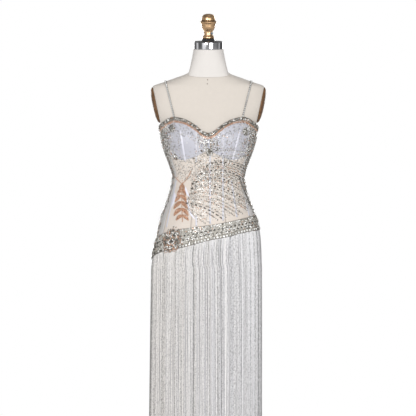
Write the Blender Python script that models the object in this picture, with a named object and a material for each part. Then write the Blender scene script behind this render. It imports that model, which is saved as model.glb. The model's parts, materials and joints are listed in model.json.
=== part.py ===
"""A beaded column evening gown with a long bead fringe, worn by a limbless dress form.

Metres, +Z up. The front faces -Y and the wearer's left is +X. The origin is the centre of the
base plate's underside. A place on the figure is given by its height and by how far round it is,
in degrees from the centre front: 90 is the wearer's left side and 180 the centre back.
"""

import math
from collections import namedtuple

import bpy
import numpy as np
from mathutils import Matrix, Vector

GAP = 0.0003
LAID_GAP = 0.0006
CLOTH_CLEARANCE = 0.0020
CLOTH_WALL = 0.0014
CLOTH_OUTSIDE = CLOTH_CLEARANCE + CLOTH_WALL

# Sections of the figure, level cuts from the bottom up. front and back are depths from the pole's axis,
# and shift is how far the cut's middle is to the wearer's left.
Section = namedtuple("Section", "height half_width front back shift")
FORM_UNDERSIDE = [
    Section(0.715, 0.1500, 0.086, 0.098, -0.0055),
    Section(0.730, 0.1640, 0.096, 0.112, -0.0055),
    Section(0.760, 0.1735, 0.103, 0.123, -0.0055),
]
SKIRT_COLUMN = [
    Section(0.030, 0.1790, 0.112, 0.131, -0.0090),
    Section(0.400, 0.1775, 0.110, 0.130, -0.0080),
    Section(0.700, 0.1765, 0.108, 0.129, -0.0065),
    Section(0.760, 0.1765, 0.107, 0.1285, -0.0060),
]
FIGURE = [
    Section(0.800, 0.1765, 0.107, 0.128, -0.0055),
    Section(0.840, 0.1715, 0.108, 0.126, -0.0025),
    Section(0.888, 0.1645, 0.107, 0.119, 0.0),
    Section(0.928, 0.1550, 0.105, 0.110, 0.0),
    Section(0.968, 0.1395, 0.101, 0.098, 0.0),
    Section(1.008, 0.1270, 0.096, 0.088, 0.0),
    Section(1.048, 0.1190, 0.091, 0.081, 0.0),
    Section(1.070, 0.1180, 0.090, 0.080, 0.0),
    Section(1.109, 0.1300, 0.092, 0.085, 0.0),
    Section(1.149, 0.1450, 0.096, 0.094, 0.0),
    Section(1.189, 0.1565, 0.098, 0.103, 0.0),
    Section(1.212, 0.1590, 0.096, 0.107, 0.0),
    Section(1.235, 0.1650, 0.094, 0.110, 0.0),
    Section(1.265, 0.1800, 0.089, 0.113, 0.0),
    Section(1.300, 0.1940, 0.082, 0.112, 0.0),
    Section(1.335, 0.1970, 0.074, 0.103, 0.0),
    Section(1.363, 0.1860, 0.067, 0.092, 0.0),
    Section(1.377, 0.1480, 0.063, 0.084, 0.0),
    Section(1.390, 0.1125, 0.059, 0.076, 0.0),
    Section(1.404, 0.0745, 0.056, 0.068, 0.0),
    Section(1.417, 0.0605, 0.055, 0.062, 0.0),
    Section(1.440, 0.0580, 0.054, 0.056, 0.0),
]
FORM = FORM_UNDERSIDE + FIGURE
DRESSED = SKIRT_COLUMN + FIGURE

BUST_HEIGHT = 1.186
BUST_ASIDE = 0.084
BUST_REACH = 0.052
BUST_RISE = 0.030
BUST_SIDEWAYS = 0.4

# The flat, leaning face where each arm plate is fixed.
ARM_FACE_LOW = 1.235
ARM_FACE_ASIDE = 0.1597
ARM_FACE_LEAN = 0.212

# Where the form's own mesh has its rows and columns.
FORM_LEVELS = (0.715, 0.730, 0.760, 0.800, 0.845, 0.890, 0.935, 0.980, 1.020, 1.048, 1.072, 1.096, 1.128)
FORM_LEVELS += (1.158, 1.182, 1.204, 1.222, 1.238, 1.262, 1.300, 1.344, 1.361, 1.373, 1.385, 1.399, 1.413)
FORM_ROUND = [360 * k / 32 for k in range(32)]

# Edges of the gown, by how far round they are.
Edge = namedtuple("Edge", "round height")
NECKLINE = [
    Edge(0, 1.2025),
    Edge(7, 1.2090),
    Edge(15, 1.2270),
    Edge(26, 1.2470),
    Edge(38, 1.2565),
    Edge(46, 1.2550),
    Edge(60, 1.2430),
    Edge(85, 1.2270),
    Edge(125, 1.2150),
    Edge(180, 1.2080),
]
UNDERBUST = [Edge(0, 1.150), Edge(14, 1.130), Edge(34, 1.116), Edge(50, 1.120), Edge(62, 1.132)]
BandEdge = namedtuple("BandEdge", "round lower upper")
HIP_BAND = [
    BandEdge(-180, 0.820, 0.872),
    BandEdge(-140, 0.789, 0.842),
    BandEdge(-110, 0.778, 0.834),
    BandEdge(-90, 0.784, 0.843),
    BandEdge(-70, 0.799, 0.861),
    BandEdge(-50, 0.812, 0.876),
    BandEdge(-28, 0.823, 0.886),
    BandEdge(0, 0.846, 0.897),
    BandEdge(22, 0.8586, 0.907),
    BandEdge(42, 0.8720, 0.9175),
    BandEdge(70, 0.8800, 0.9270),
    BandEdge(100, 0.8800, 0.9270),
    BandEdge(140, 0.860, 0.909),
    BandEdge(180, 0.820, 0.872),
]

# Where the bodice is seamed, and where the bones run, both in degrees from the centre front.
PRINCESS_SEAM = 21.0
CUP_SIDE_SEAM = 62.0
BACK_SIDE_SEAM = 108.0
BONES = (17.0, 38.0, 67.0)
BONE_HALF_TURN = 1.4
BONE_FOOT = 2.1
BONE_RISE = 0.0010
# The columns at which the cloth is drawn on each side, and the further ones that shape the bones.
CLOTH_TURNS = [0, 7, 12, 21, 26, 31, 45, 50.5, 56, 62, 75, 82, 90, 99, 108]
CLOTH_TURNS += [116, 124, 132, 140, 148, 156, 164, 172, 180]
BONE_SIDES = (-BONE_FOOT, -BONE_HALF_TURN, BONE_HALF_TURN, BONE_FOOT)
BONE_EDGES = [bone + step for bone in BONES for step in BONE_SIDES]
BONE_EDGES += [BONE_HALF_TURN, BONE_FOOT]
# Where a panel's rows of points are, as shares of its height. The bones are raised between two of them.
CUP_ROWS = (0.0, 0.14, 0.28, 0.42, 0.56, 0.70, 0.82, 0.90, 1.0)
CUP_BONE_ENDS = (0.0, 0.82)
MIDRIFF_ROWS = (0.0, 0.12, 0.16, 0.27, 0.38, 0.5, 0.62, 0.74, 0.87, 1.0)
MIDRIFF_BONE_ENDS = (0.16, 1.0)
SIDE_ROWS = (0.0, 0.10, 0.135, 0.23, 0.33, 0.43, 0.54, 0.65, 0.76, 0.86, 0.92, 0.96, 1.0)
SIDE_BONE_ENDS = (0.135, 0.92)
SKIRT_ROWS = (0.0, 0.40, 0.72, 0.87, 0.92, 0.96, 1.0)
SKIRT_SEAM_GAP = 0.0008
PLACKET_HALF_TURN = 3.5
PLACKET_THICK = 0.0012

BAND_GAP = 0.0011
BAND_THICK = 0.0030
BAND_EDGE_THICK = 0.0021
BAND_ROWS = (0.0, 0.22, 0.78, 1.0)
BAND_BEADS = 36
BEAD_RISE = 0.0016
# Half of the hair's breadth by which two halves of a band stay apart at a side seam, in degrees.
SEAM_TURN = 0.1
TRIM_GAP = 0.0009
TRIM_THICK = 0.0024
TRIM_WIDE = 0.0115
TRIM_SEAM = 85.0
TRIM_BEADS_FRONT = 38
TRIM_BEADS_BACK = 32

HEM = 0.038
FRINGE_END = 0.030
STRANDS = 92
STRAND_SHARE = 0.62
STRIP_TALL = 0.005
STRIP_THICK = 0.0022
PLUMB_HEIGHT = 0.755
HIP_CLEARANCE = 0.0008
# The fringe's curtain, plumb from the hips, as its half widths and depths from the pole's axis.
Curtain = namedtuple("Curtain", "height left right front back")
FRINGE_CURTAIN = [
    Curtain(FRINGE_END, 0.1785, 0.2010, 0.1215, 0.1385),
    Curtain(PLUMB_HEIGHT, 0.1785, 0.1910, 0.1200, 0.1375),
]

STRAP_WIDE = 0.0052
STRAP_THICK = 0.0024
STRAP_CLEARANCE = 0.0008
STRAP_END_GAP = 0.0012
STRAP_STEPS = 13
STRAP_FRONT_TURN = 43
STRAP_BACK_TURN = 141
STRAP_FRONT_ASIDE = 0.113
STRAP_TOP_ASIDE = 0.1437
STRAP_BACK_ASIDE = 0.098

NECK_LEAN = 0.40
NECK_SLANT_START = 1.344
NECK_SEAM = 1.413
NECK_TOP = 1.487
NECK_TOP_RADIUS = 0.050
NECK_FORWARD = -0.010
NECK_FOOT_SHARE = 0.985
CAP_TILT = math.radians(6)
# Turned pieces, as radii and heights from the bottom up. The first three stand on the leaning neck.
NECK_BAND_PROFILE = [(0.0494, GAP), (0.0500, 0.0012), (0.0500, 0.0230), (0.0492, 0.0240)]
NECK_PLATE_PROFILE = [(0.0470, 0.0243), (0.0470, 0.0258), (0.0240, 0.0265), (0.0200, 0.0342)]
FINIAL_BASE = 0.0345
FINIAL_PROFILE = [
    (0.0180, 0.0000),
    (0.0199, 0.0030),
    (0.0192, 0.0085),
    (0.0152, 0.0110),
    (0.0152, 0.0240),
    (0.0178, 0.0290),
    (0.0228, 0.0390),
    (0.0240, 0.0500),
    (0.0278, 0.0550),
    (0.0278, 0.0570),
    (0.0222, 0.0605),
    (0.0236, 0.0635),
    (0.0222, 0.0720),
    (0.0170, 0.0800),
    (0.0080, 0.0832),
]
SCREW_HEIGHT = 0.0190
SCREW_ROUND = math.radians(34)
SCREW_PROFILE = [(0.0028, 0.0158), (0.0030, 0.0175), (0.0046, 0.0180), (0.0044, 0.0212)]
ARM_PLATE_HEIGHT = 1.3005
ARM_PLATE_BACK = 0.006
ARM_PLATE_DEPTH_SHARE = 0.66
ARM_PLATE_PROFILE = [(0.0600, GAP), (0.0615, 0.0025), (0.0560, 0.0075), (0.0400, 0.0115), (0.0180, 0.0135)]
BASE_PROFILE = [
    (0.178, 0.0),
    (0.180, 0.003),
    (0.180, 0.008),
    (0.174, 0.012),
    (0.034, 0.015),
    (0.026, 0.030),
    (0.023, 0.034),
]
POLE_PROFILE = [
    (0.0125, 0.0343),
    (0.0125, 0.6927),
    (0.0200, 0.6987),
    (0.0550, 0.7087),
    (0.0550, 0.7147),
]

# The thick beaded flowers, each at its height and turn, with what it lies on. tall stretches it upward.
Flower = namedtuple("Flower", "name height turn radius petals carrier thick tall points_a_petal")
FLOWERS = [
    Flower("cup_flower_left", 1.209, 47.2, 0.0145, 6, "cloth", 0.0024, 1.0, 2),
    Flower("cup_flower_right", 1.219, -46.0, 0.0140, 6, "cloth", 0.0024, 1.0, 2),
    Flower("centre_flower", 1.141, 1.5, 0.0135, 6, "bone", 0.0024, 1.0, 2),
    Flower("side_flower", 1.128, -51.0, 0.0115, 5, "cloth", 0.0022, 1.0, 2),
    Flower("hip_flower", 0.846, -43.0, 0.0330, 8, "band", 0.0040, 1.22, 3),
]
CARRIER_LIFT = {
    "cloth": CLOTH_OUTSIDE + LAID_GAP,
    "bone": CLOTH_OUTSIDE + BONE_RISE + LAID_GAP,
    "band": CLOTH_OUTSIDE + BAND_GAP + BAND_THICK + LAID_GAP,
}
# How far out each ring of a flower's face is and how much of the thickness it has, from the heart outward.
PETAL_RINGS = [(0.30, 1.0), (0.52, 0.55), (0.80, 0.95), (1.00, 0.25)]
PETAL_NOTCH = 0.16
BARE_ROUND_HIP_FLOWER = 17.0


def smooth(rows, at):
    """The table's other columns at this value of its first one, on a smooth curve through its rows."""
    keys = [row[0] for row in rows]
    if at <= keys[0]:
        return np.array(rows[0][1:], float)
    if at >= keys[-1]:
        return np.array(rows[-1][1:], float)
    here = int(np.searchsorted(keys, at, side="right")) - 1
    before, after = max(here - 1, 0), min(here + 2, len(rows) - 1)
    first, start, end, last = (np.array(rows[k][1:], float) for k in (before, here, here + 1, after))
    span = keys[here + 1] - keys[here]
    slope_in = (end - first) * span / (keys[here + 1] - keys[before])
    slope_out = (last - start) * span / (keys[after] - keys[here])
    share = (at - keys[here]) / span
    squared, cubed = share**2, share**3
    from_ends = (2 * cubed - 3 * squared + 1) * start + (3 * squared - 2 * cubed) * end
    from_slopes = (cubed - 2 * squared + share) * slope_in + (cubed - squared) * slope_out
    return from_ends + from_slopes


def figure_point(rows, height, turn):
    """The figure's own surface, before any clearance or cloth."""
    half_width, front, back, shift = smooth(rows, height)
    side, fore = math.sin(math.radians(turn)), math.cos(math.radians(turn))
    x = half_width * side
    y = -fore * (front if fore > 0 else back)
    if fore > 0:
        aside = (abs(x) - BUST_ASIDE) / BUST_REACH
        above = (height - BUST_HEIGHT) / BUST_REACH
        rise = BUST_RISE * math.exp(-aside * aside - above * above) * min(1.0, 3 * fore)
        outward = Vector((side / half_width, -fore / front)).normalized()
        x += rise * outward.x * BUST_SIDEWAYS
        y += rise * outward.y
    if height > ARM_FACE_LOW:
        most = ARM_FACE_ASIDE + ARM_FACE_LEAN * (height - ARM_FACE_LOW)
        x = max(-most, min(most, x))
    return Vector((x + shift, y, height))


def on_figure(rows, height, turn, lift):
    """A point this far outside the figure, along the surface's own normal."""
    here = figure_point(rows, height, turn)
    across = figure_point(rows, height, turn + 0.5) - figure_point(rows, height, turn - 0.5)
    up = figure_point(rows, height + 0.001, turn) - figure_point(rows, height - 0.001, turn)
    return here + lift * across.cross(up).normalized()


def neckline(turn):
    return float(smooth(NECKLINE, abs(turn))[0])


def underbust(turn):
    return float(smooth(UNDERBUST, abs(turn))[0])


def band_edges(turn):
    """The hip band's lower and upper edge, for any turn."""
    wrapped = (turn + 180) % 360 - 180
    return smooth(HIP_BAND, wrapped)


def waist_seam(turn):
    """The seam between bodice and skirt, hidden under the hip band."""
    lower, upper = band_edges(turn)
    return 0.5 * (lower + upper)


def finish(name, points, faces, look, place=None, sharp=35):
    mesh = bpy.data.meshes.new(name)
    mesh.from_pydata([tuple(p) for p in points], [], faces)
    mesh.validate()
    mesh.shade_smooth()
    mesh.set_sharp_from_angle(angle=math.radians(sharp))
    mesh.materials.append(look)
    piece = bpy.data.objects.new(name, mesh)
    bpy.context.scene.collection.objects.link(piece)
    if place is not None:
        piece.matrix_world = place
    return piece


def shell(name, outside, inside, look, beads=()):
    """A cloth wall from two grids of points, outer and inner, as rows from the bottom up.

    A quad of the outer grid named in beads, as (row, column), carries one bead: its middle is raised.
    """
    rows, columns = len(outside), len(outside[0])
    points = [p for row in outside for p in row] + [p for row in inside for p in row]
    inner = rows * columns
    raised = set(beads)
    faces = []
    for r in range(rows - 1):
        for c in range(columns - 1):
            corner = r * columns + c
            quad = (corner, corner + 1, corner + columns + 1, corner + columns)
            faces.append(tuple(inner + k for k in reversed(quad)))
            if (r, c) not in raised:
                faces.append(quad)
                continue
            corners = [points[k] for k in quad]
            across = (corners[1] - corners[0]).cross(corners[3] - corners[0]).normalized()
            points.append(sum(corners, Vector()) / 4 + BEAD_RISE * across)
            tip = len(points) - 1
            faces.extend((quad[k], quad[(k + 1) % 4], tip) for k in range(4))
    top = (rows - 1) * columns
    rim = list(range(columns))
    rim += [r * columns + columns - 1 for r in range(1, rows)]
    rim += [top + c for c in range(columns - 2, -1, -1)]
    rim += [r * columns for r in range(rows - 2, 0, -1)]
    for a, b in zip(rim, rim[1:] + rim[:1]):
        faces.append((b, a, inner + a, inner + b))
    return finish(name, points, faces, look)


def lofted(name, rings, look, place=None):
    """A closed solid through level or leaning rings of equal count, bottom first, with both ends capped."""
    around = len(rings[0])
    points = [p for ring in rings for p in ring]
    faces = [tuple(reversed(range(around)))]
    for r in range(len(rings) - 1):
        for c in range(around):
            a, b = r * around + c, r * around + (c + 1) % around
            faces.append((a, b, b + around, a + around))
    last = (len(rings) - 1) * around
    faces.append(tuple(range(last, last + around)))
    return finish(name, points, faces, look, place)


def turned(name, profile, sides, look, place=None, stretch=1.0):
    """A solid turned about its own Z axis. The profile is radii and heights from the bottom up."""
    rings = []
    for radius, height in profile:
        angles = [2 * math.pi * k / sides for k in range(sides)]
        rings.append([Vector((radius * math.cos(a), stretch * radius * math.sin(a), height)) for a in angles])
    return lofted(name, rings, look, place)


def colour(name, rgb, roughness, metallic=0.0):
    look = bpy.data.materials.new(name)
    look.use_nodes = True
    shader = look.node_tree.nodes["Principled BSDF"]
    shader.inputs["Base Color"].default_value = (*rgb, 1.0)
    shader.inputs["Roughness"].default_value = roughness
    shader.inputs["Metallic"].default_value = metallic
    look.diffuse_color = (*rgb, 1.0)
    return look


def between(start, end, count):
    return [start + (end - start) * k / (count - 1) for k in range(count)]


def cloth_columns(first, last, bones):
    """The turns at which the cloth between two seams is drawn, a hair inside each seam."""
    turns = CLOTH_TURNS + (BONE_EDGES if bones else [])
    every = {side * turn + 360 * lap for turn in turns for side in (-1, 1) for lap in (-1, 0, 1)}
    hair = math.degrees(0.5 * GAP / 0.10)
    return [first + hair] + sorted(turn for turn in every if first + 1 < turn < last - 1) + [last - hair]


def panel(name, first, last, low, high, shares, look, bones=(), bone_ends=(0.0, 1.0)):
    """A cloth panel between two edges, which are functions of the turn. Bones raise its outer points."""
    outside, inside = [], []
    for share in shares:
        outer, inner = [], []
        for turn in cloth_columns(first, last, bones):
            bottom, top = low(turn) + GAP / 2, high(turn) - GAP / 2
            height = bottom + (top - bottom) * share
            on_bone = any(abs(turn - bone) < BONE_HALF_TURN + 0.1 for bone in bones)
            on_bone = on_bone and bone_ends[0] <= share <= bone_ends[1]
            outer.append(on_figure(DRESSED, height, turn, CLOTH_OUTSIDE + (BONE_RISE if on_bone else 0)))
            inner.append(on_figure(DRESSED, height, turn, CLOTH_CLEARANCE))
        outside.append(outer)
        inside.append(inner)
    shell(name, outside, inside, look)


def bodice(cloth, side_cloth):
    bones = [side * bone for side in (1, -1) for bone in BONES] + [0.0]
    for word, side in (("left", 1), ("right", -1)):

        def span(near, far):
            return sorted((side * near, side * far))

        cup, front = span(0, CUP_SIDE_SEAM), span(PRINCESS_SEAM, CUP_SIDE_SEAM)
        under_arm, back = span(CUP_SIDE_SEAM, BACK_SIDE_SEAM), span(BACK_SIDE_SEAM, 180)
        panel(f"cup_{word}", *cup, underbust, neckline, CUP_ROWS, cloth, bones[:-1], CUP_BONE_ENDS)
        boned = (MIDRIFF_ROWS, cloth, bones, MIDRIFF_BONE_ENDS)
        panel(f"side_front_{word}", *front, waist_seam, underbust, *boned)
        boned = (SIDE_ROWS, side_cloth, bones, SIDE_BONE_ENDS)
        panel(f"side_{word}", *under_arm, waist_seam, neckline, *boned)
        panel(f"back_{word}", *back, waist_seam, neckline, SIDE_ROWS, cloth)
    centre = (-PRINCESS_SEAM, PRINCESS_SEAM)
    panel("front_centre", *centre, waist_seam, underbust, MIDRIFF_ROWS, cloth, bones, MIDRIFF_BONE_ENDS)


def skirt(cloth):
    """The sheath under the fringe, one front and one back, from the hem to just under the waist seam."""

    def top(turn):
        return waist_seam(turn) - SKIRT_SEAM_GAP

    for word, middle in (("front", 0), ("back", 180)):
        panel(f"skirt_{word}", middle - 90, middle + 90, lambda turn: HEM, top, SKIRT_ROWS, cloth)


def placket(cloth):
    """The strip that covers the centre back closing, made from the back panels' own rows."""
    base = CLOTH_OUTSIDE + GAP
    outside, inside = [], []
    for share in SIDE_ROWS[1:-1]:
        outer, inner = [], []
        for turn in (180 - PLACKET_HALF_TURN, 180.0, 180 + PLACKET_HALF_TURN):
            low = waist_seam(turn) + GAP / 2
            high = neckline(min(turn, 360 - turn)) - GAP / 2
            height = low + (high - low) * share
            outer.append(on_figure(DRESSED, height, turn, base + PLACKET_THICK))
            inner.append(on_figure(DRESSED, height, turn, base))
        outside.append(outer)
        inside.append(inner)
    shell("back_placket", outside, inside, cloth)


def hip_band(look):
    """The slanting band, in a front and a back half seamed at the sides, with large beads along both edges."""
    for word, middle in (("front", 0), ("back", 180)):
        columns = between(middle - 90 + SEAM_TURN, middle + 90 - SEAM_TURN, BAND_BEADS + 1)
        outside, inside = [], []
        for share in BAND_ROWS:
            outer, inner = [], []
            for turn in columns:
                lower, upper = band_edges(turn)
                height = lower + (upper - lower) * share
                thick = BAND_EDGE_THICK if share in (0.0, 1.0) else BAND_THICK
                outer.append(on_figure(DRESSED, height, turn, CLOTH_OUTSIDE + BAND_GAP + thick))
                inner.append(on_figure(DRESSED, height, turn, CLOTH_OUTSIDE + BAND_GAP))
            outside.append(outer)
            inside.append(inner)
        beads = []
        for column in range(BAND_BEADS):
            if abs(columns[column] - FLOWERS[-1].turn) > BARE_ROUND_HIP_FLOWER:
                beads += [(0, column), (2, column)]
        shell(f"hip_band_{word}", outside, inside, look, beads)


def neck_trim(look):
    """The beaded edge along the neckline, in a front and a back piece."""
    front = ("front", -TRIM_SEAM, TRIM_SEAM, TRIM_BEADS_FRONT)
    back = ("back", TRIM_SEAM, 360 - TRIM_SEAM, TRIM_BEADS_BACK)
    for word, first, last, beads in (front, back):
        outside, inside = [], []
        for share in (0.0, 1.0):
            outer, inner = [], []
            for turn in between(first + SEAM_TURN, last - SEAM_TURN, beads + 1):
                top = neckline(360 - turn if turn > 180 else turn)
                height = top - TRIM_WIDE * (1 - share)
                outer.append(on_figure(DRESSED, height, turn, CLOTH_OUTSIDE + TRIM_GAP + TRIM_THICK))
                inner.append(on_figure(DRESSED, height, turn, CLOTH_OUTSIDE + TRIM_GAP))
            outside.append(outer)
            inside.append(inner)
        shell(f"neck_trim_{word}", outside, inside, look, [(0, column) for column in range(beads)])


def shoulder_height(aside):
    """The height at which the shoulder's top line is this far from the middle."""
    low, high = NECK_SLANT_START, NECK_SEAM
    for _ in range(40):
        middle = 0.5 * (low + high)
        if smooth(FORM, middle)[0] > aside:
            low = middle
        else:
            high = middle
    return low


def strap_run(low, low_aside):
    """Heights and turns from a neckline up to the top of the shoulder."""
    top = shoulder_height(STRAP_TOP_ASIDE)
    run = []
    for share in between(0.0, 1.0, STRAP_STEPS):
        rise = math.sin(0.5 * math.pi * share)
        height = low + (top - low) * rise
        aside = low_aside + (STRAP_TOP_ASIDE - low_aside) * rise
        run.append((height, math.degrees(math.asin(min(1.0, aside / smooth(FORM, height)[0])))))
    return run


def strap_line(side):
    """The strap's middle line: up from the cup, over the shoulder and down to the back neckline."""
    front = strap_run(neckline(STRAP_FRONT_TURN) + STRAP_END_GAP, STRAP_FRONT_ASIDE)
    rear = strap_run(neckline(STRAP_BACK_TURN) + STRAP_END_GAP, STRAP_BACK_ASIDE)
    over = [(height, 180 - turn) for height, turn in rear[-2::-1]]
    return [(height, side * turn) for height, turn in front + over]


def straps(look):
    for side, word in ((1, "left"), (-1, "right")):
        line = strap_line(side)
        middle = [on_figure(FORM, height, turn, STRAP_CLEARANCE) for height, turn in line]
        outside, inside = [], []
        for k, (height, turn) in enumerate(line):
            normal = on_figure(FORM, height, turn, 1.0) - figure_point(FORM, height, turn)
            ahead = middle[min(k + 1, len(middle) - 1)] - middle[max(k - 1, 0)]
            across = ahead.cross(normal).normalized() * (0.5 * STRAP_WIDE)
            inside.append([middle[k] - across, middle[k] + across])
            top = middle[k] + STRAP_THICK * normal
            outside.append([top - across, top + across])
        shell(f"strap_{word}", outside, inside, look, [(k, 0) for k in range(len(line) - 1)])


def even_turns(count):
    """Turns that are evenly spaced along the girth of the fringe's curtain."""
    fine = [figure_point(DRESSED, PLUMB_HEIGHT, 360 * k / 1440) for k in range(1441)]
    steps = [(fine[k + 1] - fine[k]).length for k in range(1440)]
    along = np.concatenate([[0.0], np.cumsum(steps)])
    return [float(t) for t in np.interp(np.arange(count) * along[-1] / count, along, np.arange(1441) / 4)]


def curtain_point(height, turn, out):
    left, right, front, back = smooth(FRINGE_CURTAIN, height)
    side, fore = math.sin(math.radians(turn)), math.cos(math.radians(turn))
    aside = left if side > 0 else right
    depth = front if fore > 0 else back
    outward = Vector((side / aside, -fore / depth, 0)).normalized()
    return Vector((aside * side, -depth * fore, height)) + out * outward


def bead_fringe(look):
    """Bead strands hanging from a narrow strip, sewn on just under the hip band."""
    starts = even_turns(STRANDS)
    edges = []
    for start, following in zip(starts, starts[1:] + [360.0]):
        edges += [start, start + STRAND_SHARE * (following - start)]
    count = len(edges)
    base = CLOTH_OUTSIDE + LAID_GAP
    points = []
    face = base + STRIP_THICK
    for lift, down in ((base, GAP), (face, GAP), (base, STRIP_TALL), (face, STRIP_TALL)):
        for turn in edges:
            points.append(on_figure(DRESSED, band_edges(turn)[0] - down, turn, lift))
    top_in, top_out, low_in, low_out = (k * count for k in range(4))
    faces = []
    for k in range(count):
        n = (k + 1) % count
        faces.append((low_out + k, low_out + n, top_out + n, top_out + k))
        faces.append((low_in + n, low_in + k, top_in + k, top_in + n))
        faces.append((top_out + k, top_out + n, top_in + n, top_in + k))
        if k % 2:
            faces.append((low_in + k, low_in + n, low_out + n, low_out + k))
            continue
        above = [low_in + k, low_in + n, low_out + n, low_out + k]
        corners = ((edges[k], -1), (edges[n], -1), (edges[n], 1), (edges[k], 1))
        over_hip = 0.5 * (PLUMB_HEIGHT + band_edges(edges[k])[0])
        for height in (over_hip, PLUMB_HEIGHT, FRINGE_END):
            below = []
            for turn, side in corners:
                below.append(len(points))
                if height == over_hip:
                    clear = on_figure(DRESSED, height, turn, base + HIP_CLEARANCE + 0.5 * STRIP_THICK)
                    hung = 0.5 * (points[low_in + k] + curtain_point(PLUMB_HEIGHT, turn, 0))
                    outward = (clear - figure_point(DRESSED, height, turn)).normalized()
                    rise = max(0.0, (hung - clear).dot(outward))
                    points.append(clear + (rise + side * 0.5 * STRIP_THICK) * outward)
                else:
                    points.append(curtain_point(height, turn, side * 0.5 * STRIP_THICK))
            for a in range(4):
                b = (a + 1) % 4
                faces.append((below[b], below[a], above[a], above[b]))
            above = below
        faces.append(tuple(above))
    finish("bead_fringe", points, faces, look)


def rosette(flower, look):
    """A thick beaded flower that lies on the gown, with its petals raised round a domed heart."""
    around = flower.points_a_petal * flower.petals
    lift = CARRIER_LIFT[flower.carrier]
    one_degree = on_figure(DRESSED, flower.height, flower.turn + 1, lift)
    one_degree -= on_figure(DRESSED, flower.height, flower.turn, lift)
    points = []

    def place(share, angle, out):
        notch = PETAL_NOTCH * share * (1 - math.cos(flower.petals * angle)) / 2
        reach = flower.radius * share * (1 - notch)
        height = flower.height + reach * math.sin(angle) * flower.tall
        turn = flower.turn + reach * math.cos(angle) / one_degree.length
        points.append(on_figure(DRESSED, height, turn, out))

    place(0.0, 0.0, lift + flower.thick)
    place(0.0, 0.0, lift)
    for share, rise in PETAL_RINGS + [(1.0, 0.0), (0.5, 0.0)]:
        for k in range(around):
            place(share, 2 * math.pi * k / around, lift + flower.thick * rise)
    rings = [2 + around * r for r in range(len(PETAL_RINGS) + 2)]
    faces = []
    for k in range(around):
        n = (k + 1) % around
        faces.append((0, rings[0] + k, rings[0] + n))
        faces.append((1, rings[-1] + n, rings[-1] + k))
        for low, high in zip(rings, rings[1:]):
            faces.append((low + k, high + k, high + n, low + n))
    finish(flower.name, points, faces, look, sharp=60)


def torso(linen):
    """The form's body, closed at the hips and cut on a forward slant where the neck is set on."""
    around = len(FORM_ROUND)
    rings = []
    for level in FORM_LEVELS:
        slant = max(0.0, (level - NECK_SLANT_START) / (NECK_SEAM - NECK_SLANT_START)) ** 2
        ring = []
        for k in range(around):
            turn = FORM_ROUND[k]
            height = level
            for _ in range(6):
                height = level + slant * NECK_LEAN * figure_point(FORM, height, turn).y
            ring.append(figure_point(FORM, height, turn))
        rings.append(ring)
    lofted("form_torso", rings, linen)
    return rings[-1]


def neck(seam, linen):
    """The neck block, from the slanting seam up to the leaning metal band. It returns the band's place."""
    cap_place = Matrix.Translation(Vector((0, NECK_FORWARD, NECK_TOP))) @ Matrix.Rotation(CAP_TILT, 4, "X")
    middle = sum(seam, Vector()) / len(seam)
    bottom = [middle + NECK_FOOT_SHARE * (p - middle) + Vector((0, 0, 2 * GAP)) for p in seam]
    top = []
    for k in range(len(seam)):
        turn = math.radians(FORM_ROUND[k])
        rim = Vector((math.sin(turn), -math.cos(turn), 0))
        top.append(cap_place @ (NECK_TOP_RADIUS * rim))
    rings = [[b + (t - b) * share for b, t in zip(bottom, top)] for share in between(0.0, 1.0, 5)]
    lofted("form_neck", rings, linen)
    return cap_place


def neck_cap(place, chrome, black, brass, steel):
    """The metal band, the black plate, the finial and its set screw, all leaning with the neck."""
    turned("neck_band", NECK_BAND_PROFILE, 32, chrome, place)
    turned("neck_plate", NECK_PLATE_PROFILE, 32, black, place)
    finial_place = place @ Matrix.Translation(Vector((0, 0, FINIAL_BASE)))
    turned("finial", FINIAL_PROFILE, 16, brass, finial_place)
    screw_place = finial_place @ Matrix.Translation(Vector((0, 0, SCREW_HEIGHT)))
    screw_place = screw_place @ Matrix.Rotation(SCREW_ROUND, 4, "Z") @ Matrix.Rotation(math.pi / 2, 4, "X")
    turned("set_screw", SCREW_PROFILE, 10, steel, screw_place)


def arm_plates(wood):
    """The shallow domed plates that close the armholes, leaning with the flat they are screwed to."""
    aside = ARM_FACE_ASIDE + ARM_FACE_LEAN * (ARM_PLATE_HEIGHT - ARM_FACE_LOW)
    outward = math.pi / 2 + math.atan(ARM_FACE_LEAN)
    for side, word in ((1, "left"), (-1, "right")):
        place = Matrix.Translation(Vector((side * aside, ARM_PLATE_BACK, ARM_PLATE_HEIGHT)))
        place = place @ Matrix.Rotation(side * outward, 4, "Y")
        turned(f"arm_plate_{word}", ARM_PLATE_PROFILE, 24, wood, place, ARM_PLATE_DEPTH_SHARE)


def stand(steel):
    turned("base_plate", BASE_PROFILE, 36, steel)
    turned("pole", POLE_PROFILE, 16, steel)


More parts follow.
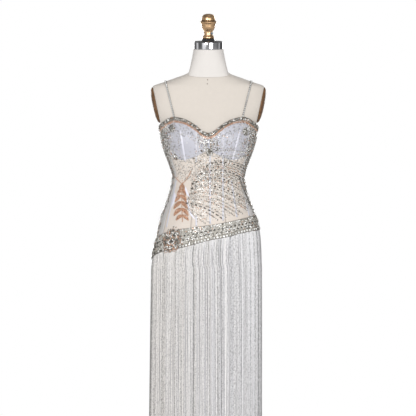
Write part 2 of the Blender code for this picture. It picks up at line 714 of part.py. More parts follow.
def main():
    for old in list(bpy.data.objects):
        bpy.data.objects.remove(old)
    linen = colour("ivory_linen", (0.76, 0.70, 0.62), 0.85)
    neck_linen = colour("neck_linen", (0.84, 0.80, 0.75), 0.8)
    chrome = colour("chrome", (0.70, 0.70, 0.72), 0.15, 1.0)
    black = colour("black_enamel", (0.03, 0.03, 0.03), 0.4)
    brass = colour("aged_brass", (0.62, 0.42, 0.22), 0.35, 1.0)
    screw_steel = colour("screw_steel", (0.45, 0.55, 0.62), 0.3, 1.0)
    wood = colour("arm_plate_wood", (0.22, 0.13, 0.06), 0.5)
    base_steel = colour("base_steel", (0.30, 0.30, 0.31), 0.4, 1.0)
    net = colour("nude_net", (0.70, 0.64, 0.60), 0.7)
    beaded_net = colour("beaded_net", (0.45, 0.42, 0.39), 0.5)
    sheath = colour("sheath_silk", (0.66, 0.65, 0.66), 0.5)
    crystal = colour("crystal_beading", (0.48, 0.46, 0.43), 0.25, 0.3)
    copper = colour("copper_beading", (0.45, 0.33, 0.26), 0.3, 0.4)
    fringe_beads = colour("fringe_beads", (0.66, 0.65, 0.65), 0.3, 0.2)

    seam = torso(linen)
    cap_place = neck(seam, neck_linen)
    neck_cap(cap_place, chrome, black, brass, screw_steel)
    arm_plates(wood)
    stand(base_steel)

    bodice(net, beaded_net)
    placket(net)
    skirt(sheath)
    hip_band(crystal)
    bead_fringe(fringe_beads)
    neck_trim(crystal)
    straps(crystal)
    for flower in FLOWERS:
        rosette(flower, copper if flower.carrier == "band" else crystal)


main()
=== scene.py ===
"""A beaded fringe evening gown on a tailor's dress form, dressed over its own frame.

Sizes are in metres. The gown faces -Y and its wearer's left is +X. A turn is in degrees from the centre
front, round by the wearer's left to the centre back at 180.
"""

import json
import math

import bpy
import numpy as np
from mathutils import Matrix, Vector

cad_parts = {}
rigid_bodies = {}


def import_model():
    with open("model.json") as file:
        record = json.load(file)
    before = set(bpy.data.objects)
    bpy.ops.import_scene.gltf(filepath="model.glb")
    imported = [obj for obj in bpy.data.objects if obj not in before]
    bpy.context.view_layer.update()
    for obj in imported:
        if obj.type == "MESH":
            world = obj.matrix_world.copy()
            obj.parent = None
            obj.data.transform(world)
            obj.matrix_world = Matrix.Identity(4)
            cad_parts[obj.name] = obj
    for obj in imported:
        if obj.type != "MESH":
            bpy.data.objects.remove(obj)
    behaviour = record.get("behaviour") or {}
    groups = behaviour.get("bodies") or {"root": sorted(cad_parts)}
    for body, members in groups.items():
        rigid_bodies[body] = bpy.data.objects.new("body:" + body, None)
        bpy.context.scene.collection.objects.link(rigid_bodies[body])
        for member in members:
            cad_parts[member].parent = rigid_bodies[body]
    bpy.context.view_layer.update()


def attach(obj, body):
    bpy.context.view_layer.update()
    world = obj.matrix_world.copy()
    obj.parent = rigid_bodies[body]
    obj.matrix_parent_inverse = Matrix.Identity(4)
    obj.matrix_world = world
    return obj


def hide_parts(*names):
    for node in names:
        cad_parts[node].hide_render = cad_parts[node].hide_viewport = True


bl_info = {
    "name": "Beaded Fringe Gown",
    "version": (1, 0, 0),
    "blender": (4, 5, 0),
    "location": "View3D > Sidebar > Gown",
    "description": "Builds a beaded gown with a hanging bead fringe on its dress form",
    "category": "Add Mesh",
}

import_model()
BODY = "root"

# Level cuts of the figure: height, half width, depth in front, depth behind, shift to the wearer's left.
FORM_UNDERSIDE = [
    (0.715, 0.1500, 0.086, 0.098, -0.0055), (0.730, 0.1640, 0.096, 0.112, -0.0055),
    (0.760, 0.1735, 0.103, 0.123, -0.0055),
]
SKIRT_COLUMN = [
    (0.030, 0.1790, 0.112, 0.131, -0.0090), (0.400, 0.1775, 0.110, 0.130, -0.0080),
    (0.700, 0.1765, 0.108, 0.129, -0.0065), (0.760, 0.1765, 0.107, 0.1285, -0.0060),
]
FIGURE = [
    (0.800, 0.1765, 0.107, 0.128, -0.0055), (0.840, 0.1715, 0.108, 0.126, -0.0025),
    (0.888, 0.1645, 0.107, 0.119, 0.0), (0.928, 0.1550, 0.105, 0.110, 0.0),
    (0.968, 0.1395, 0.101, 0.098, 0.0), (1.008, 0.1270, 0.096, 0.088, 0.0),
    (1.048, 0.1190, 0.091, 0.081, 0.0), (1.070, 0.1180, 0.090, 0.080, 0.0),
    (1.109, 0.1300, 0.092, 0.085, 0.0), (1.149, 0.1450, 0.096, 0.094, 0.0),
    (1.189, 0.1565, 0.098, 0.103, 0.0), (1.212, 0.1590, 0.096, 0.107, 0.0),
    (1.235, 0.1650, 0.094, 0.110, 0.0), (1.265, 0.1800, 0.089, 0.113, 0.0),
    (1.300, 0.1940, 0.082, 0.112, 0.0), (1.335, 0.1970, 0.074, 0.103, 0.0),
    (1.363, 0.1860, 0.067, 0.092, 0.0), (1.377, 0.1480, 0.063, 0.084, 0.0),
    (1.390, 0.1125, 0.059, 0.076, 0.0), (1.404, 0.0745, 0.056, 0.068, 0.0),
    (1.417, 0.0605, 0.055, 0.062, 0.0), (1.440, 0.0580, 0.054, 0.056, 0.0),
]
BUST_HEIGHT, BUST_ASIDE, BUST_REACH, BUST_RISE, BUST_SIDEWAYS = 1.186, 0.084, 0.052, 0.030, 0.4
ARM_FACE_LOW, ARM_FACE_ASIDE, ARM_FACE_LEAN = 1.235, 0.1597, 0.212

# Edges of the gown: turn, then height. The hip band has its lower and its upper edge.
NECKLINE = [
    (0, 1.2025), (7, 1.2090), (15, 1.2270), (26, 1.2470), (38, 1.2565), (46, 1.2550), (60, 1.2430),
    (85, 1.2270), (125, 1.2150), (180, 1.2080),
]
UNDERBUST = [(0, 1.150), (14, 1.130), (34, 1.116), (50, 1.120), (62, 1.132)]
HIP_BAND = [
    (-180, 0.820, 0.872), (-140, 0.789, 0.842), (-110, 0.778, 0.834), (-90, 0.784, 0.843),
    (-70, 0.799, 0.861), (-50, 0.812, 0.876), (-28, 0.823, 0.886), (0, 0.846, 0.897), (22, 0.8586, 0.907),
    (42, 0.8720, 0.9175), (70, 0.8800, 0.9270), (100, 0.8800, 0.9270), (140, 0.860, 0.909),
    (180, 0.820, 0.872),
]
PRINCESS_SEAM, CUP_SIDE_SEAM, BACK_SIDE_SEAM, TRIM_SEAM = 21.0, 62.0, 108.0, 85.0

# How far out from the figure each layer lies, and how thick what is laid on the cloth is.
SEAM_GAP = 0.0003
CLOTH_OUTSIDE = 0.0034
STRIP_LIFT, STRIP_THICK = CLOTH_OUTSIDE + 0.0006, 0.0008
BAND_GAP, TAPE_THICK = 0.0011, 0.0018
ABOVE_TAPE = BAND_GAP + TAPE_THICK
TRIM_GAP, TRIM_THICK, TRIM_WIDE = 0.0009, 0.0014, 0.0115
STRAND_CLEAR, STRAND_SEAM_DOWN = 0.0011, 0.0042
# Metres of cloth to a degree of turn, and mean distances of the panels and of the body from the axis.
DEGREE = 0.0024
PANEL_RADIUS, BODY_RADIUS = 0.10, 0.15

HEM = 0.038
FRINGE_END = 0.030
PLUMB_HEIGHT = 0.755
CURTAIN = [(FRINGE_END, 0.1785, 0.2010, 0.1215, 0.1385), (PLUMB_HEIGHT, 0.1785, 0.1910, 0.1200, 0.1375)]

# Soft troughs and ridges in the cloth: height, turn, rise and turn to its far end, depth and half width.
CREASES = [
    (1.062, -96, 0.010, 30, 0.0008, 0.0060), (1.047, 84, 0.014, 26, 0.0007, 0.0065),
    (1.074, 128, -0.012, 34, 0.0008, 0.0070), (1.088, -150, 0.016, 28, -0.0005, 0.0080),
    (1.036, 158, 0.008, 44, 0.0006, 0.0060), (1.118, 30, -0.010, 22, -0.0004, 0.0060),
    (1.110, -52, -0.016, 24, 0.0005, 0.0060), (0.962, -120, -0.020, 34, 0.0006, 0.0080),
    (0.955, 118, -0.026, 30, -0.0006, 0.0080), (1.150, 170, 0.020, 26, 0.0006, 0.0080),
    (0.620, 40, -0.300, 6, 0.0009, 0.0110), (0.560, -64, -0.340, -4, -0.0008, 0.0120),
    (0.650, 128, -0.320, 5, 0.0009, 0.0110), (0.600, -152, -0.260, 4, -0.0008, 0.0130),
    (0.700, 172, -0.400, 3, 0.0008, 0.0100), (0.640, -20, -0.360, -5, 0.0007, 0.0110),
]

# Satin bones: the panel's outside is crossed from a low to a high point, each as distance aside and height.
FRONT_BONES = [
    ((-0.0771, 1.1122), (-0.0938, 1.2127), "bone_satin"),
    ((-0.0402, 1.1089), (-0.0402, 1.2290), "veiled_bone"),
    ((0.0057, 0.9020), (0.0057, 1.1450), "veiled_bone"),
    ((0.0486, 0.9130), (0.0486, 1.2260), "veiled_bone"),
    ((0.0804, 1.1156), (0.1062, 1.2150), "bone_satin"),
    ((0.0950, 0.9240), (0.0764, 1.0452), "veiled_bone"),
    ((0.1362, 0.9280), (0.1262, 0.9720), "veiled_bone"),
    ((-0.1400, 0.8900), (-0.1070, 1.0480), "veiled_bone"),
    ((-0.0402, 0.8940), (-0.0402, 0.9300), "veiled_bone"),
]
BACK_BONES = [(-0.100, -0.075), (-0.050, -0.040), (0.050, 0.040), (0.100, 0.075)]
BACK_BONE_ENDS, BONE_WIDE = (0.93, 1.195), 0.0062
PLACKET_HALF_TURN = 3.5

# The fan on the midriff: guide lines from top to bottom, as start, bend and end, each as distance aside and
# height, then how many rows of beads lie between that line and the next.
FAN_GUIDES = [
    ((-0.004, 1.100), (0.048, 1.132), (0.127, 1.094), 7),
    ((-0.057, 1.038), (0.040, 1.108), (0.127, 1.017), 6),
    ((-0.061, 1.016), (0.016, 1.056), (0.137, 0.970), 5),
    ((-0.066, 0.994), (0.020, 1.020), (0.128, 0.939), 6),
    ((-0.077, 0.971), (-0.014, 0.966), (0.047, 0.918), 4),
    ((-0.074, 0.955), (-0.046, 0.930), (-0.008, 0.903), 1),
]
DARK_FAN_ROWS = (1, 5, 9, 13, 24)
PALE_FAN_ROWS = (11, 15, 18, 22, 26)
WARM_FAN_ROWS = (3, 4, 17)
WAIST_LINE = ((0.1005, 1.062), (0.118, 1.010), (0.1440, 0.958))
# Two swags of stones under the left cup: start, bend, end and the upper row's shades.
UNDERBUST_SWAGS = [
    ((0.024, 1.1450), (0.070, 1.1530), (0.128, 1.1400), (0.2, 0.60)),
    ((0.040, 1.1290), (0.080, 1.1330), (0.127, 1.1250), (0.5, 1.0)),
]
# A copper spray beside the fan: pairs of leaves down a stem, each pair with its foot, how far its tips are
# to the right and to the left, how far down, and the leaves' half width. White slivers lie between.
SPRAY_STEM = [(-0.086, 1.040), (-0.090, 0.985), (-0.086, 0.908)]
SPRAY_LEAVES = [
    ((-0.0868, 1.034), -0.009, 0.007, 0.020, 0.0034),
    ((-0.0876, 1.018), -0.016, 0.012, 0.023, 0.0046),
    ((-0.0884, 0.998), -0.023, 0.016, 0.025, 0.0054),
    ((-0.0888, 0.976), -0.027, 0.019, 0.026, 0.0058),
    ((-0.0884, 0.953), -0.027, 0.022, 0.025, 0.0058),
    ((-0.0874, 0.931), -0.020, 0.022, 0.018, 0.0050),
]
COPPER_STEMS = [((-0.120, 1.072), (-0.0868, 1.034), -0.006), ((-0.058, 1.080), (-0.0862, 1.034), 0.008)]
WHITE_SLIVERS = [
    ((-0.078, 1.026), (-0.062, 0.990), 0.003, 0.0040),
    ((-0.070, 0.986), (-0.060, 0.950), 0.004, 0.0034),
    ((-0.066, 0.958), (-0.040, 0.914), 0.005, 0.0032),
    ((-0.112, 1.006), (-0.124, 0.956), -0.003, 0.0036),
]
# Thick flowers: name, height, turn, radius, petals, the layer it lies on, thickness and stretch upward.
FLOWERS = [
    ("cup_flower_left", 1.209, 47.2, 0.0145, 6, CLOTH_OUTSIDE + 0.0006, 0.0024, 1.0),
    ("cup_flower_right", 1.219, -46.0, 0.0140, 6, CLOTH_OUTSIDE + 0.0006, 0.0024, 1.0),
    ("centre_flower", 1.141, 1.5, 0.0135, 6, CLOTH_OUTSIDE + 0.0016, 0.0024, 1.0),
    ("side_flower", 1.128, -51.0, 0.0115, 5, CLOTH_OUTSIDE + 0.0006, 0.0022, 1.0),
    ("hip_flower", 0.846, -43.0, 0.0330, 8, CLOTH_OUTSIDE + 0.0047, 0.0040, 1.22),
]

# Stitched welts on the form: turn, lower end and upper end.
FORM_SEAMS = [
    (57, 1.250, 1.330), (-57, 1.250, 1.330), (148, 1.200, 1.360), (-148, 1.200, 1.360), (180, 1.200, 1.350),
]
STRAP_STEPS, STRAP_FRONT_TURN, STRAP_BACK_TURN = 60, 43, 141
STRAP_FRONT_ASIDE, STRAP_TOP_ASIDE, STRAP_BACK_ASIDE = 0.113, 0.1437, 0.098
STRAP_WIDE, STRAP_THICK, STRAP_CLEARANCE, STRAP_END_GAP = 0.0052, 0.0009, 0.0008, 0.0012

NECK_LEAN, NECK_SLANT_START, NECK_SEAM = 0.40, 1.344, 1.413
CAP_PLACE = Matrix.Translation((0, -0.010, 1.487)) @ Matrix.Rotation(math.radians(6), 4, "X")
FINIAL_PLACE = CAP_PLACE @ Matrix.Translation((0, 0, 0.0345))
SCREW_PLACE = FINIAL_PLACE @ Matrix.Translation((0, 0, 0.0190))
SCREW_PLACE = SCREW_PLACE @ Matrix.Rotation(math.radians(34), 4, "Z") @ Matrix.Rotation(math.pi / 2, 4, "X")
NECK_BAND_PROFILE = [(0.0470, 0.0003), (0.0494, 0.0003), (0.0500, 0.0012), (0.0500, 0.0230), (0.0492, 0.0240)]
NECK_PLATE_PROFILE = [(0.0470, 0.0243), (0.0470, 0.0258), (0.0240, 0.0265), (0.0200, 0.0342)]
FINIAL_PROFILE = [
    (0.0180, 0.0000), (0.0199, 0.0030), (0.0192, 0.0085), (0.0152, 0.0110), (0.0152, 0.0240),
    (0.0178, 0.0290), (0.0228, 0.0390), (0.0240, 0.0500), (0.0278, 0.0550), (0.0278, 0.0570),
    (0.0222, 0.0605), (0.0236, 0.0635), (0.0222, 0.0720), (0.0170, 0.0800), (0.0080, 0.0832),
]
GROOVE_HEIGHT = 0.0594
GROOVE_PROFILE = [(0.0226, -0.0010), (0.0240, 0.0000), (0.0240, 0.0022), (0.0228, 0.0030)]
PIN_PROFILE = [(0.0013, 0.0), (0.0017, 0.0006), (0.0013, 0.0012), (0.0003, 0.0015)]
SCREW_PROFILE = [(0.0028, 0.0158), (0.0030, 0.0175), (0.0046, 0.0180), (0.0044, 0.0212)]
ARM_PLATE_HEIGHT = 1.3005
ARM_PLATE_PROFILE = [(0.0600, 0.0003), (0.0615, 0.0025), (0.0560, 0.0075), (0.0400, 0.0115), (0.0180, 0.0135)]
BASE_PROFILE = [
    (0.178, 0.0), (0.180, 0.003), (0.180, 0.008), (0.174, 0.012), (0.034, 0.015), (0.026, 0.030),
    (0.023, 0.034),
]
POLE_PROFILE = [(0.0125, 0.0343), (0.0125, 0.6927), (0.0200, 0.6987), (0.0550, 0.7087), (0.0550, 0.7147)]

# The studio: lamps with their places and powers, the room's tall panels by turn, and its light by height.
LIGHTS = [
    ("key", (-1.3, -4.5, 1.9), 116),
    ("fill", (1.6, -4.3, 1.3), 76),
    ("top", (0.0, -0.3, 3.4), 4),
    ("rear_left", (1.6, 4.4, 2.0), 84),
    ("rear_right", (-1.6, 4.6, 1.7), 84),
]
ROOM_PANELS = [
    (0.00, 0.12), (0.17, 0.08), (0.21, 0.50), (0.245, 1.10), (0.275, 0.10), (0.35, 0.12), (0.385, 1.50),
    (0.43, 1.40), (0.455, 0.35), (0.52, 0.35), (0.54, 1.60), (0.585, 1.50), (0.61, 0.22), (0.66, 0.28),
    (0.735, 0.10), (0.755, 1.10), (0.775, 0.10), (0.83, 0.08), (1.00, 0.12),
]
ROOM_LEVELS = [(0.0, 0.66), (0.30, 0.62), (0.65, 0.31), (1.0, 0.17)]

# Woven finishes: colour, thread and its unevenness in metres, roughness, how far the mottling darkens, the
# strength of the bump, the scale of the mottling and the sheen.
WOVEN = {
    "linen": ("linen", 0.0011, 0.0006, 0.85, 0.955, 0.35, 6.0, 0.15),
    "neck_cover": ("neck", 0.0010, 0.0005, 0.8, 0.97),
    "nude_tulle": ("net", 0.0013, 0.0003, 0.7, 0.92, 0.35, 16.0),
    "cup_tulle": ("cups", 0.0013, 0.0003, 0.6, 0.90, 0.35, 30.0),
    "side_tulle": ("sides", 0.0016, 0.0003, 0.6, 0.80, 0.35, 40.0),
    "skirt_silk": ("sheath", 0.0009, 0.0002, 0.45, 0.92, 0.2, 6.0, 0.3),
    "bone_satin": ("bones", 0.0008, 0.0, 0.32, 0.95, 0.2, 20.0),
    "veiled_bone": ("veiled", 0.0008, 0.0, 0.45, 0.94, 0.2, 20.0),
    "band_tape": ("tape", 0.0012, 0.0003, 0.6, 0.75, 0.35, 40.0),
    "edge_tape": ("edging", 0.0012, 0.0003, 0.6, 0.75, 0.35, 40.0),
    "copper_tape": ("copper", 0.0012, 0.0002, 0.5, 0.8, 0.35, 40.0),
}
# Metals and lacquer: colour, roughness, how dark the tarnish is, its scale, metallic and stretch upward.
METALS = {
    "chrome": ((0.62, 0.62, 0.64), 0.04, 0.9, 30.0),
    "black_lacquer": ((0.030, 0.030, 0.032), 0.30, 0.6, 40.0, 0.0),
    "worn_brass": ("brass", 0.30, 0.45, 28.0),
    "groove_brass": ((0.10, 0.055, 0.025), 0.5, 0.5, 60.0),
    "bright_steel": ((0.46, 0.57, 0.66), 0.30, 0.6, 90.0),
    "brushed_steel": ((0.30, 0.30, 0.31), 0.34, 0.7, 8.0, 1.0, 0.2),
}

# What is sewn to each panel, by the panel's name, as lay_on notes it.
LAID_ON = {}


class Table:
    """Rows of numbers joined by smooth curves, read at many places at once."""

    def __init__(self, rows, step):
        rows = np.array(rows, float)
        keys, values = rows[:, 0], rows[:, 1:]
        self.keys = np.append(np.arange(keys[0], keys[-1], step), keys[-1])
        here = np.clip(np.searchsorted(keys, self.keys, side="right") - 1, 0, len(keys) - 2)
        before, after = np.maximum(here - 1, 0), np.minimum(here + 2, len(keys) - 1)
        span = keys[here + 1] - keys[here]
        slope_in = (values[here + 1] - values[before]) * (span / (keys[here + 1] - keys[before]))[:, None]
        slope_out = (values[after] - values[here]) * (span / (keys[after] - keys[here]))[:, None]
        share = ((self.keys - keys[here]) / span)[:, None]
        squared, cubed = share**2, share**3
        ends = (2 * cubed - 3 * squared + 1) * values[here] + (3 * squared - 2 * cubed) * values[here + 1]
        self.columns = (ends + (cubed - 2 * squared + share) * slope_in + (cubed - squared) * slope_out).T

    def __call__(self, at):
        return [np.interp(at, self.keys, column) for column in self.columns]


BARE = Table(FORM_UNDERSIDE + FIGURE, 0.0005)
DRESSED = Table(SKIRT_COLUMN + FIGURE, 0.0005)
NECK_EDGE, UNDERBUST_EDGE, BAND_EDGES = Table(NECKLINE, 0.25), Table(UNDERBUST, 0.25), Table(HIP_BAND, 0.25)


def figure_at(table, heights, turns):
    """Points on the figure itself, for arrays of heights and turns."""
    heights, turns = np.broadcast_arrays(np.asarray(heights, float), np.asarray(turns, float))
    half_width, front, back, shift = table(heights)
    side, fore = np.sin(np.radians(turns)), np.cos(np.radians(turns))
    x, y = half_width * side, -fore * np.where(fore > 0, front, back)
    near_bust = ((np.abs(x) - BUST_ASIDE) / BUST_REACH) ** 2 + ((heights - BUST_HEIGHT) / BUST_REACH) ** 2
    rise = BUST_RISE * np.exp(-near_bust) * np.clip(3 * fore, 0, 1)
    out_x, out_y = side / half_width, -fore / front
    length = np.hypot(out_x, out_y)
    x = x + rise * out_x / length * BUST_SIDEWAYS
    y = y + rise * out_y / length
    most = np.where(heights > ARM_FACE_LOW, ARM_FACE_ASIDE + ARM_FACE_LEAN * (heights - ARM_FACE_LOW), 1.0)
    return np.stack([np.clip(x, -most, most) + shift, y, heights], -1)


def outward(table, heights, turns):
    """The way the figure's surface faces at these places."""
    heights, turns = np.asarray(heights, float), np.asarray(turns, float)
    across = figure_at(table, heights, turns + 0.5) - figure_at(table, heights, turns - 0.5)
    up = figure_at(table, heights + 0.001, turns) - figure_at(table, heights - 0.001, turns)
    facing = np.cross(across, up)
    return facing / np.linalg.norm(facing, axis=-1, keepdims=True)


def off_figure(table, heights, turns, lift):
    lift = np.broadcast_to(lift, np.broadcast(heights, turns).shape)[..., None]
    return figure_at(table, heights, turns) + lift * outward(table, heights, turns)


def wrapped(turns):
    return (np.asarray(turns, float) + 180) % 360 - 180


def neckline(turns):
    return NECK_EDGE(np.abs(wrapped(turns)))[0]


def underbust(turns):
    return UNDERBUST_EDGE(np.abs(wrapped(turns)))[0]


def band_lower(turns):
    return BAND_EDGES(wrapped(turns))[0]


def band_upper(turns):
    return BAND_EDGES(wrapped(turns))[1]


def waist_seam(turns):
    return 0.5 * (band_lower(turns) + band_upper(turns))


def moved(line, shift):
    """An edge of the gown, moved up or down."""
    return lambda turns: line(turns) + shift


def crease(heights, turns):
    """How far the cloth stands in or out here, from the soft creases that the gown has."""
    along_turn = DEGREE * wrapped(turns)
    lift = np.zeros(np.broadcast(heights, turns).shape)
    for height, turn, rise, sweep, depth, wide in CREASES:
        run = np.array([DEGREE * sweep, rise])
        away = np.stack([along_turn - DEGREE * turn, np.broadcast_to(heights, lift.shape) - height], -1)
        share = np.clip((away @ run) / (run @ run), 0, 1)
        distance = np.linalg.norm(away - share[..., None] * run, axis=-1)
        lift -= depth * np.exp(-((distance / wide) ** 2)) * (0.35 + 0.65 * np.sin(math.pi * share))
    return lift


def on_cloth(heights, turns, above):
    """Points this far above the gown's cloth, creases and all."""
    return off_figure(DRESSED, heights, turns, CLOTH_OUTSIDE + crease(heights, turns) + above)


def turn_at(aside, height):
    """The turn on the front at which the cloth is this far aside."""
    turns = np.linspace(-90, 90, 721)
    return float(np.interp(aside, off_figure(DRESSED, height, turns, CLOTH_OUTSIDE)[:, 0], turns))


def lengths_along(points):
    """How far along a line each of its points lies."""
    return np.concatenate([[0.0], np.cumsum(np.linalg.norm(np.diff(points, axis=0), axis=1))])


def evenly(heights, turns, pitch):
    """Heights and turns every so far along a line that is given by close points."""
    reach = lengths_along(figure_at(DRESSED, heights, turns))
    count = max(1, int(reach[-1] / pitch))
    at = (np.arange(count) + 0.5) * reach[-1] / count
    return np.interp(at, reach, heights), np.interp(at, reach, turns)


def linked(name, mesh, look):
    """A finished piece of the object at the origin, riding on the one body."""
    mesh.materials.clear()
    mesh.materials.append(look)
    piece = bpy.data.objects.new(name, mesh)
    bpy.context.scene.collection.objects.link(piece)
    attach(piece, BODY)
    return piece


def solid(name, points, faces, look, threads=None, sharp=None):
    """A mesh piece. threads are its points' places on the cloth in metres, kept as its UV map."""
    mesh = bpy.data.meshes.new(name)
    mesh.from_pydata(points.tolist(), [], faces)
    if threads is not None:
        corners = np.empty(len(mesh.loops), int)
        mesh.loops.foreach_get("vertex_index", corners)
        mesh.uv_layers.new(name="Threads").data.foreach_set("uv", threads[corners].ravel())
    mesh.shade_smooth()
    if sharp is not None:
        mesh.set_sharp_from_angle(angle=math.radians(sharp))
    return linked(name, mesh, look)


def wall(name, outside, inside, look):
    """A thin closed wall from two grids of points, given as rows from the bottom up."""
    rows, columns = outside.shape[:2]
    grid = np.arange(rows * columns).reshape(rows, columns)
    outer = np.stack([grid[:-1, :-1], grid[:-1, 1:], grid[1:, 1:], grid[1:, :-1]], -1).reshape(-1, 4)
    rim = np.concatenate([grid[0], grid[1:, -1], grid[-1, -2::-1], grid[-2:0:-1, 0]])
    ahead = np.roll(rim, -1)
    edge = np.stack([ahead, rim, rim + rows * columns, ahead + rows * columns], -1)
    faces = np.concatenate([outer, outer[:, ::-1] + rows * columns, edge])
    round_it = lengths_along(outside[rows // 2])
    threads = np.stack([np.broadcast_to(round_it, (rows, columns)), outside[..., 2]], -1).reshape(-1, 2)
    points = np.concatenate([outside.reshape(-1, 3), inside.reshape(-1, 3)])
    return solid(name, points, faces.tolist(), look, np.concatenate([threads, threads]))


def lofted(name, rings, look, sharp=40):
    """A closed solid through rings of equal count, bottom first, capped at both ends."""
    rings = np.asarray(rings)
    count, around = rings.shape[:2]
    grid = np.arange(count * around).reshape(count, around)
    ahead = np.roll(grid, -1, axis=1)
    sides = np.stack([grid[:-1], ahead[:-1], ahead[1:], grid[1:]], -1).reshape(-1, 4)
    faces = sides.tolist() + [grid[0, ::-1].tolist(), grid[-1].tolist()]
    return solid(name, rings.reshape(-1, 3), faces, look, sharp=sharp)


def eased(profile, ease):
    """The profile with each inner corner rounded off."""
    points = [Vector(p) for p in profile]
    rounded = [points[0]]
    for before, here, after in zip(points, points[1:], points[2:]):
        near = here + (before - here) * min(ease / (before - here).length, 0.42)
        far = here + (after - here) * min(ease / (after - here).length, 0.42)
        rounded += [(1 - t) ** 2 * near + 2 * t * (1 - t) * here + t * t * far for t in (0, 0.33, 0.67, 1)]
    return rounded + [points[-1]]


def turned(name, profile, look, place, ease, sides=72, stretch=1.0):
    """A solid turned about its own Z axis, set at its place."""
    angles = np.linspace(0, math.tau, sides, endpoint=False)
    rings = []
    for radius, height in eased(profile, ease):
        ring = np.stack([radius * np.cos(angles), stretch * radius * np.sin(angles), angles * 0 + height], -1)
        rings.append([place @ Vector(p) for p in ring])
    return lofted(name, rings, look)


class Wiring:
    """Adds nodes to a tree and joins them. In a material it also feeds the shader."""

    def __init__(self, tree):
        self.tree = tree
        self.count = 0

    def node(self, kind, values=None, **settings):
        made = self.tree.nodes.new(kind)
        made.location = (-1400 + 180 * (self.count % 9), 300 - 220 * (self.count // 9))
        self.count += 1
        for key, value in settings.items():
            setattr(made, key, value)
        for socket, value in (values or {}).items():
            self.feed(made.inputs[socket], value)
        return made

    def feed(self, socket, value):
        if isinstance(value, bpy.types.NodeSocket):
            self.tree.links.new(value, socket)
        else:
            socket.default_value = value

    def shade(self, socket, value):
        self.feed(self.tree.nodes["Principled BSDF"].inputs[socket], value)

    def bump(self, height, strength, distance):
        values = {"Height": height, "Strength": strength, "Distance": distance}
        self.shade("Normal", self.node("ShaderNodeBump", values).outputs[0])

    def place(self):
        return self.node("ShaderNodeTexCoord").outputs["Object"]

    def math(self, operation, first, second=0.0, third=0.0):
        values = {0: first, 1: second, 2: third}
        return self.node("ShaderNodeMath", values, operation=operation).outputs[0]

    def mix(self, share, low, high, **settings):
        values = {0: share, 6: low, 7: high}
        return self.node("ShaderNodeMix", values, data_type="RGBA", **settings).outputs[2]

    def ramp(self, value, *stops):
        made = self.node("ShaderNodeValToRGB", {0: value})
        ramp = made.color_ramp
        while len(ramp.elements) < len(stops):
            ramp.elements.new(0.5)
        for element, (position, shade) in zip(ramp.elements, stops):
            element.position = position
            element.color = (*shade, 1.0) if len(shade) == 3 else shade
        return made.outputs[0]

    def noise(self, vector, scale, detail=2.0):
        values = {"Vector": vector, "Scale": scale, "Detail": detail}
        return self.node("ShaderNodeTexNoise", values).outputs[0]

    def attribute(self, name):
        return self.node("ShaderNodeAttribute", attribute_name=name).outputs["Fac"]


def add_sockets(tree, inputs, outputs):
    """Named inputs, each with its kind and its default, and named outputs with their kind."""
    for label, kind, default in inputs:
        socket = tree.interface.new_socket(label, in_out="INPUT", socket_type=f"NodeSocket{kind}")
        if default is not None:
            socket.default_value = default
    for label, kind in outputs:
        tree.interface.new_socket(label, in_out="OUTPUT", socket_type=f"NodeSocket{kind}")


def effect(name, inputs, outputs, build):
    """A shader node group, built once, with named inputs and outputs."""
    group = bpy.data.node_groups.get(name)
    if group:
        return group
    group = bpy.data.node_groups.new(name, "ShaderNodeTree")
    add_sockets(group, inputs, outputs)
    wire = Wiring(group)
    entry = wire.node("NodeGroupInput")
    results = build(wire, entry.outputs)
    end = wire.node("NodeGroupOutput")
    for label, socket in results.items():
        wire.feed(end.inputs[label], socket)
    return group


def weave_effect():
    """Crossing threads: their height, and a mask that is low in the gaps between them."""

    def build(wire, given):
        place = wire.node("ShaderNodeSeparateXYZ", {0: given["Place"]}).outputs
        uneven = wire.math("MULTIPLY", wire.noise(given["Place"], 90.0), given["Unevenness"])
        rate = wire.math("DIVIDE", math.tau, given["Thread"])
        warp = wire.math("SINE", wire.math("MULTIPLY", wire.math("ADD", place[0], uneven), rate))
        weft = wire.math("SINE", wire.math("MULTIPLY", wire.math("ADD", place[1], uneven), rate))
        height = wire.math("MULTIPLY_ADD", wire.math("MULTIPLY", warp, weft), 0.5, 0.5)
        mask = wire.math("MAXIMUM", wire.math("ABSOLUTE", warp), wire.math("ABSOLUTE", weft))
        return {"Height": height, "Threads": mask}

    inputs = [("Place", "Vector", None), ("Thread", "Float", 0.001), ("Unevenness", "Float", 0.0004)]
    return effect("Woven threads", inputs, [("Height", "Float"), ("Threads", "Float")], build)


def mottle_effect():
    """Uneven colour between a light and a dark shade, coarse patches with a finer grain in them."""

    def build(wire, given):
        coarse = wire.noise(given["Place"], given["Scale"], 3.0)
        fine = wire.noise(given["Place"], wire.math("MULTIPLY", given["Scale"], 14.0), 2.0)
        share = wire.math("MULTIPLY_ADD", fine, 0.4, wire.math("MULTIPLY", coarse, 0.6))
        share = wire.ramp(share, (0.36, (0, 0, 0)), (0.64, (1, 1, 1)))
        return {"Color": wire.mix(share, given["Dark"], given["Light"]), "Mask": share}

    inputs = [("Place", "Vector", None), ("Scale", "Float", 6.0)]
    inputs += [("Light", "Color", None), ("Dark", "Color", None)]
    return effect("Mottled shade", inputs, [("Color", "Color"), ("Mask", "Float")], build)


def shaded(name, roughness, metallic=0.0, **constants):
    """A new material with its plain values set on the shader itself."""
    look = bpy.data.materials.new(name)
    look.use_nodes = True
    wire = Wiring(look.node_tree)
    wire.shade("Roughness", roughness)
    wire.shade("Metallic", metallic)
    for socket, value in constants.items():
        wire.shade(socket.replace("_", " "), value)
    return look, wire


def toned(shade, factor):
    return (*[min(1.0, factor * channel) for channel in shade[:3]], 1.0)


def pigment(shade):
    """A colour that is given by its numbers, or by its name in the gown's colours."""
    return getattr(bpy.context.scene.gown_colours, shade) if isinstance(shade, str) else shade


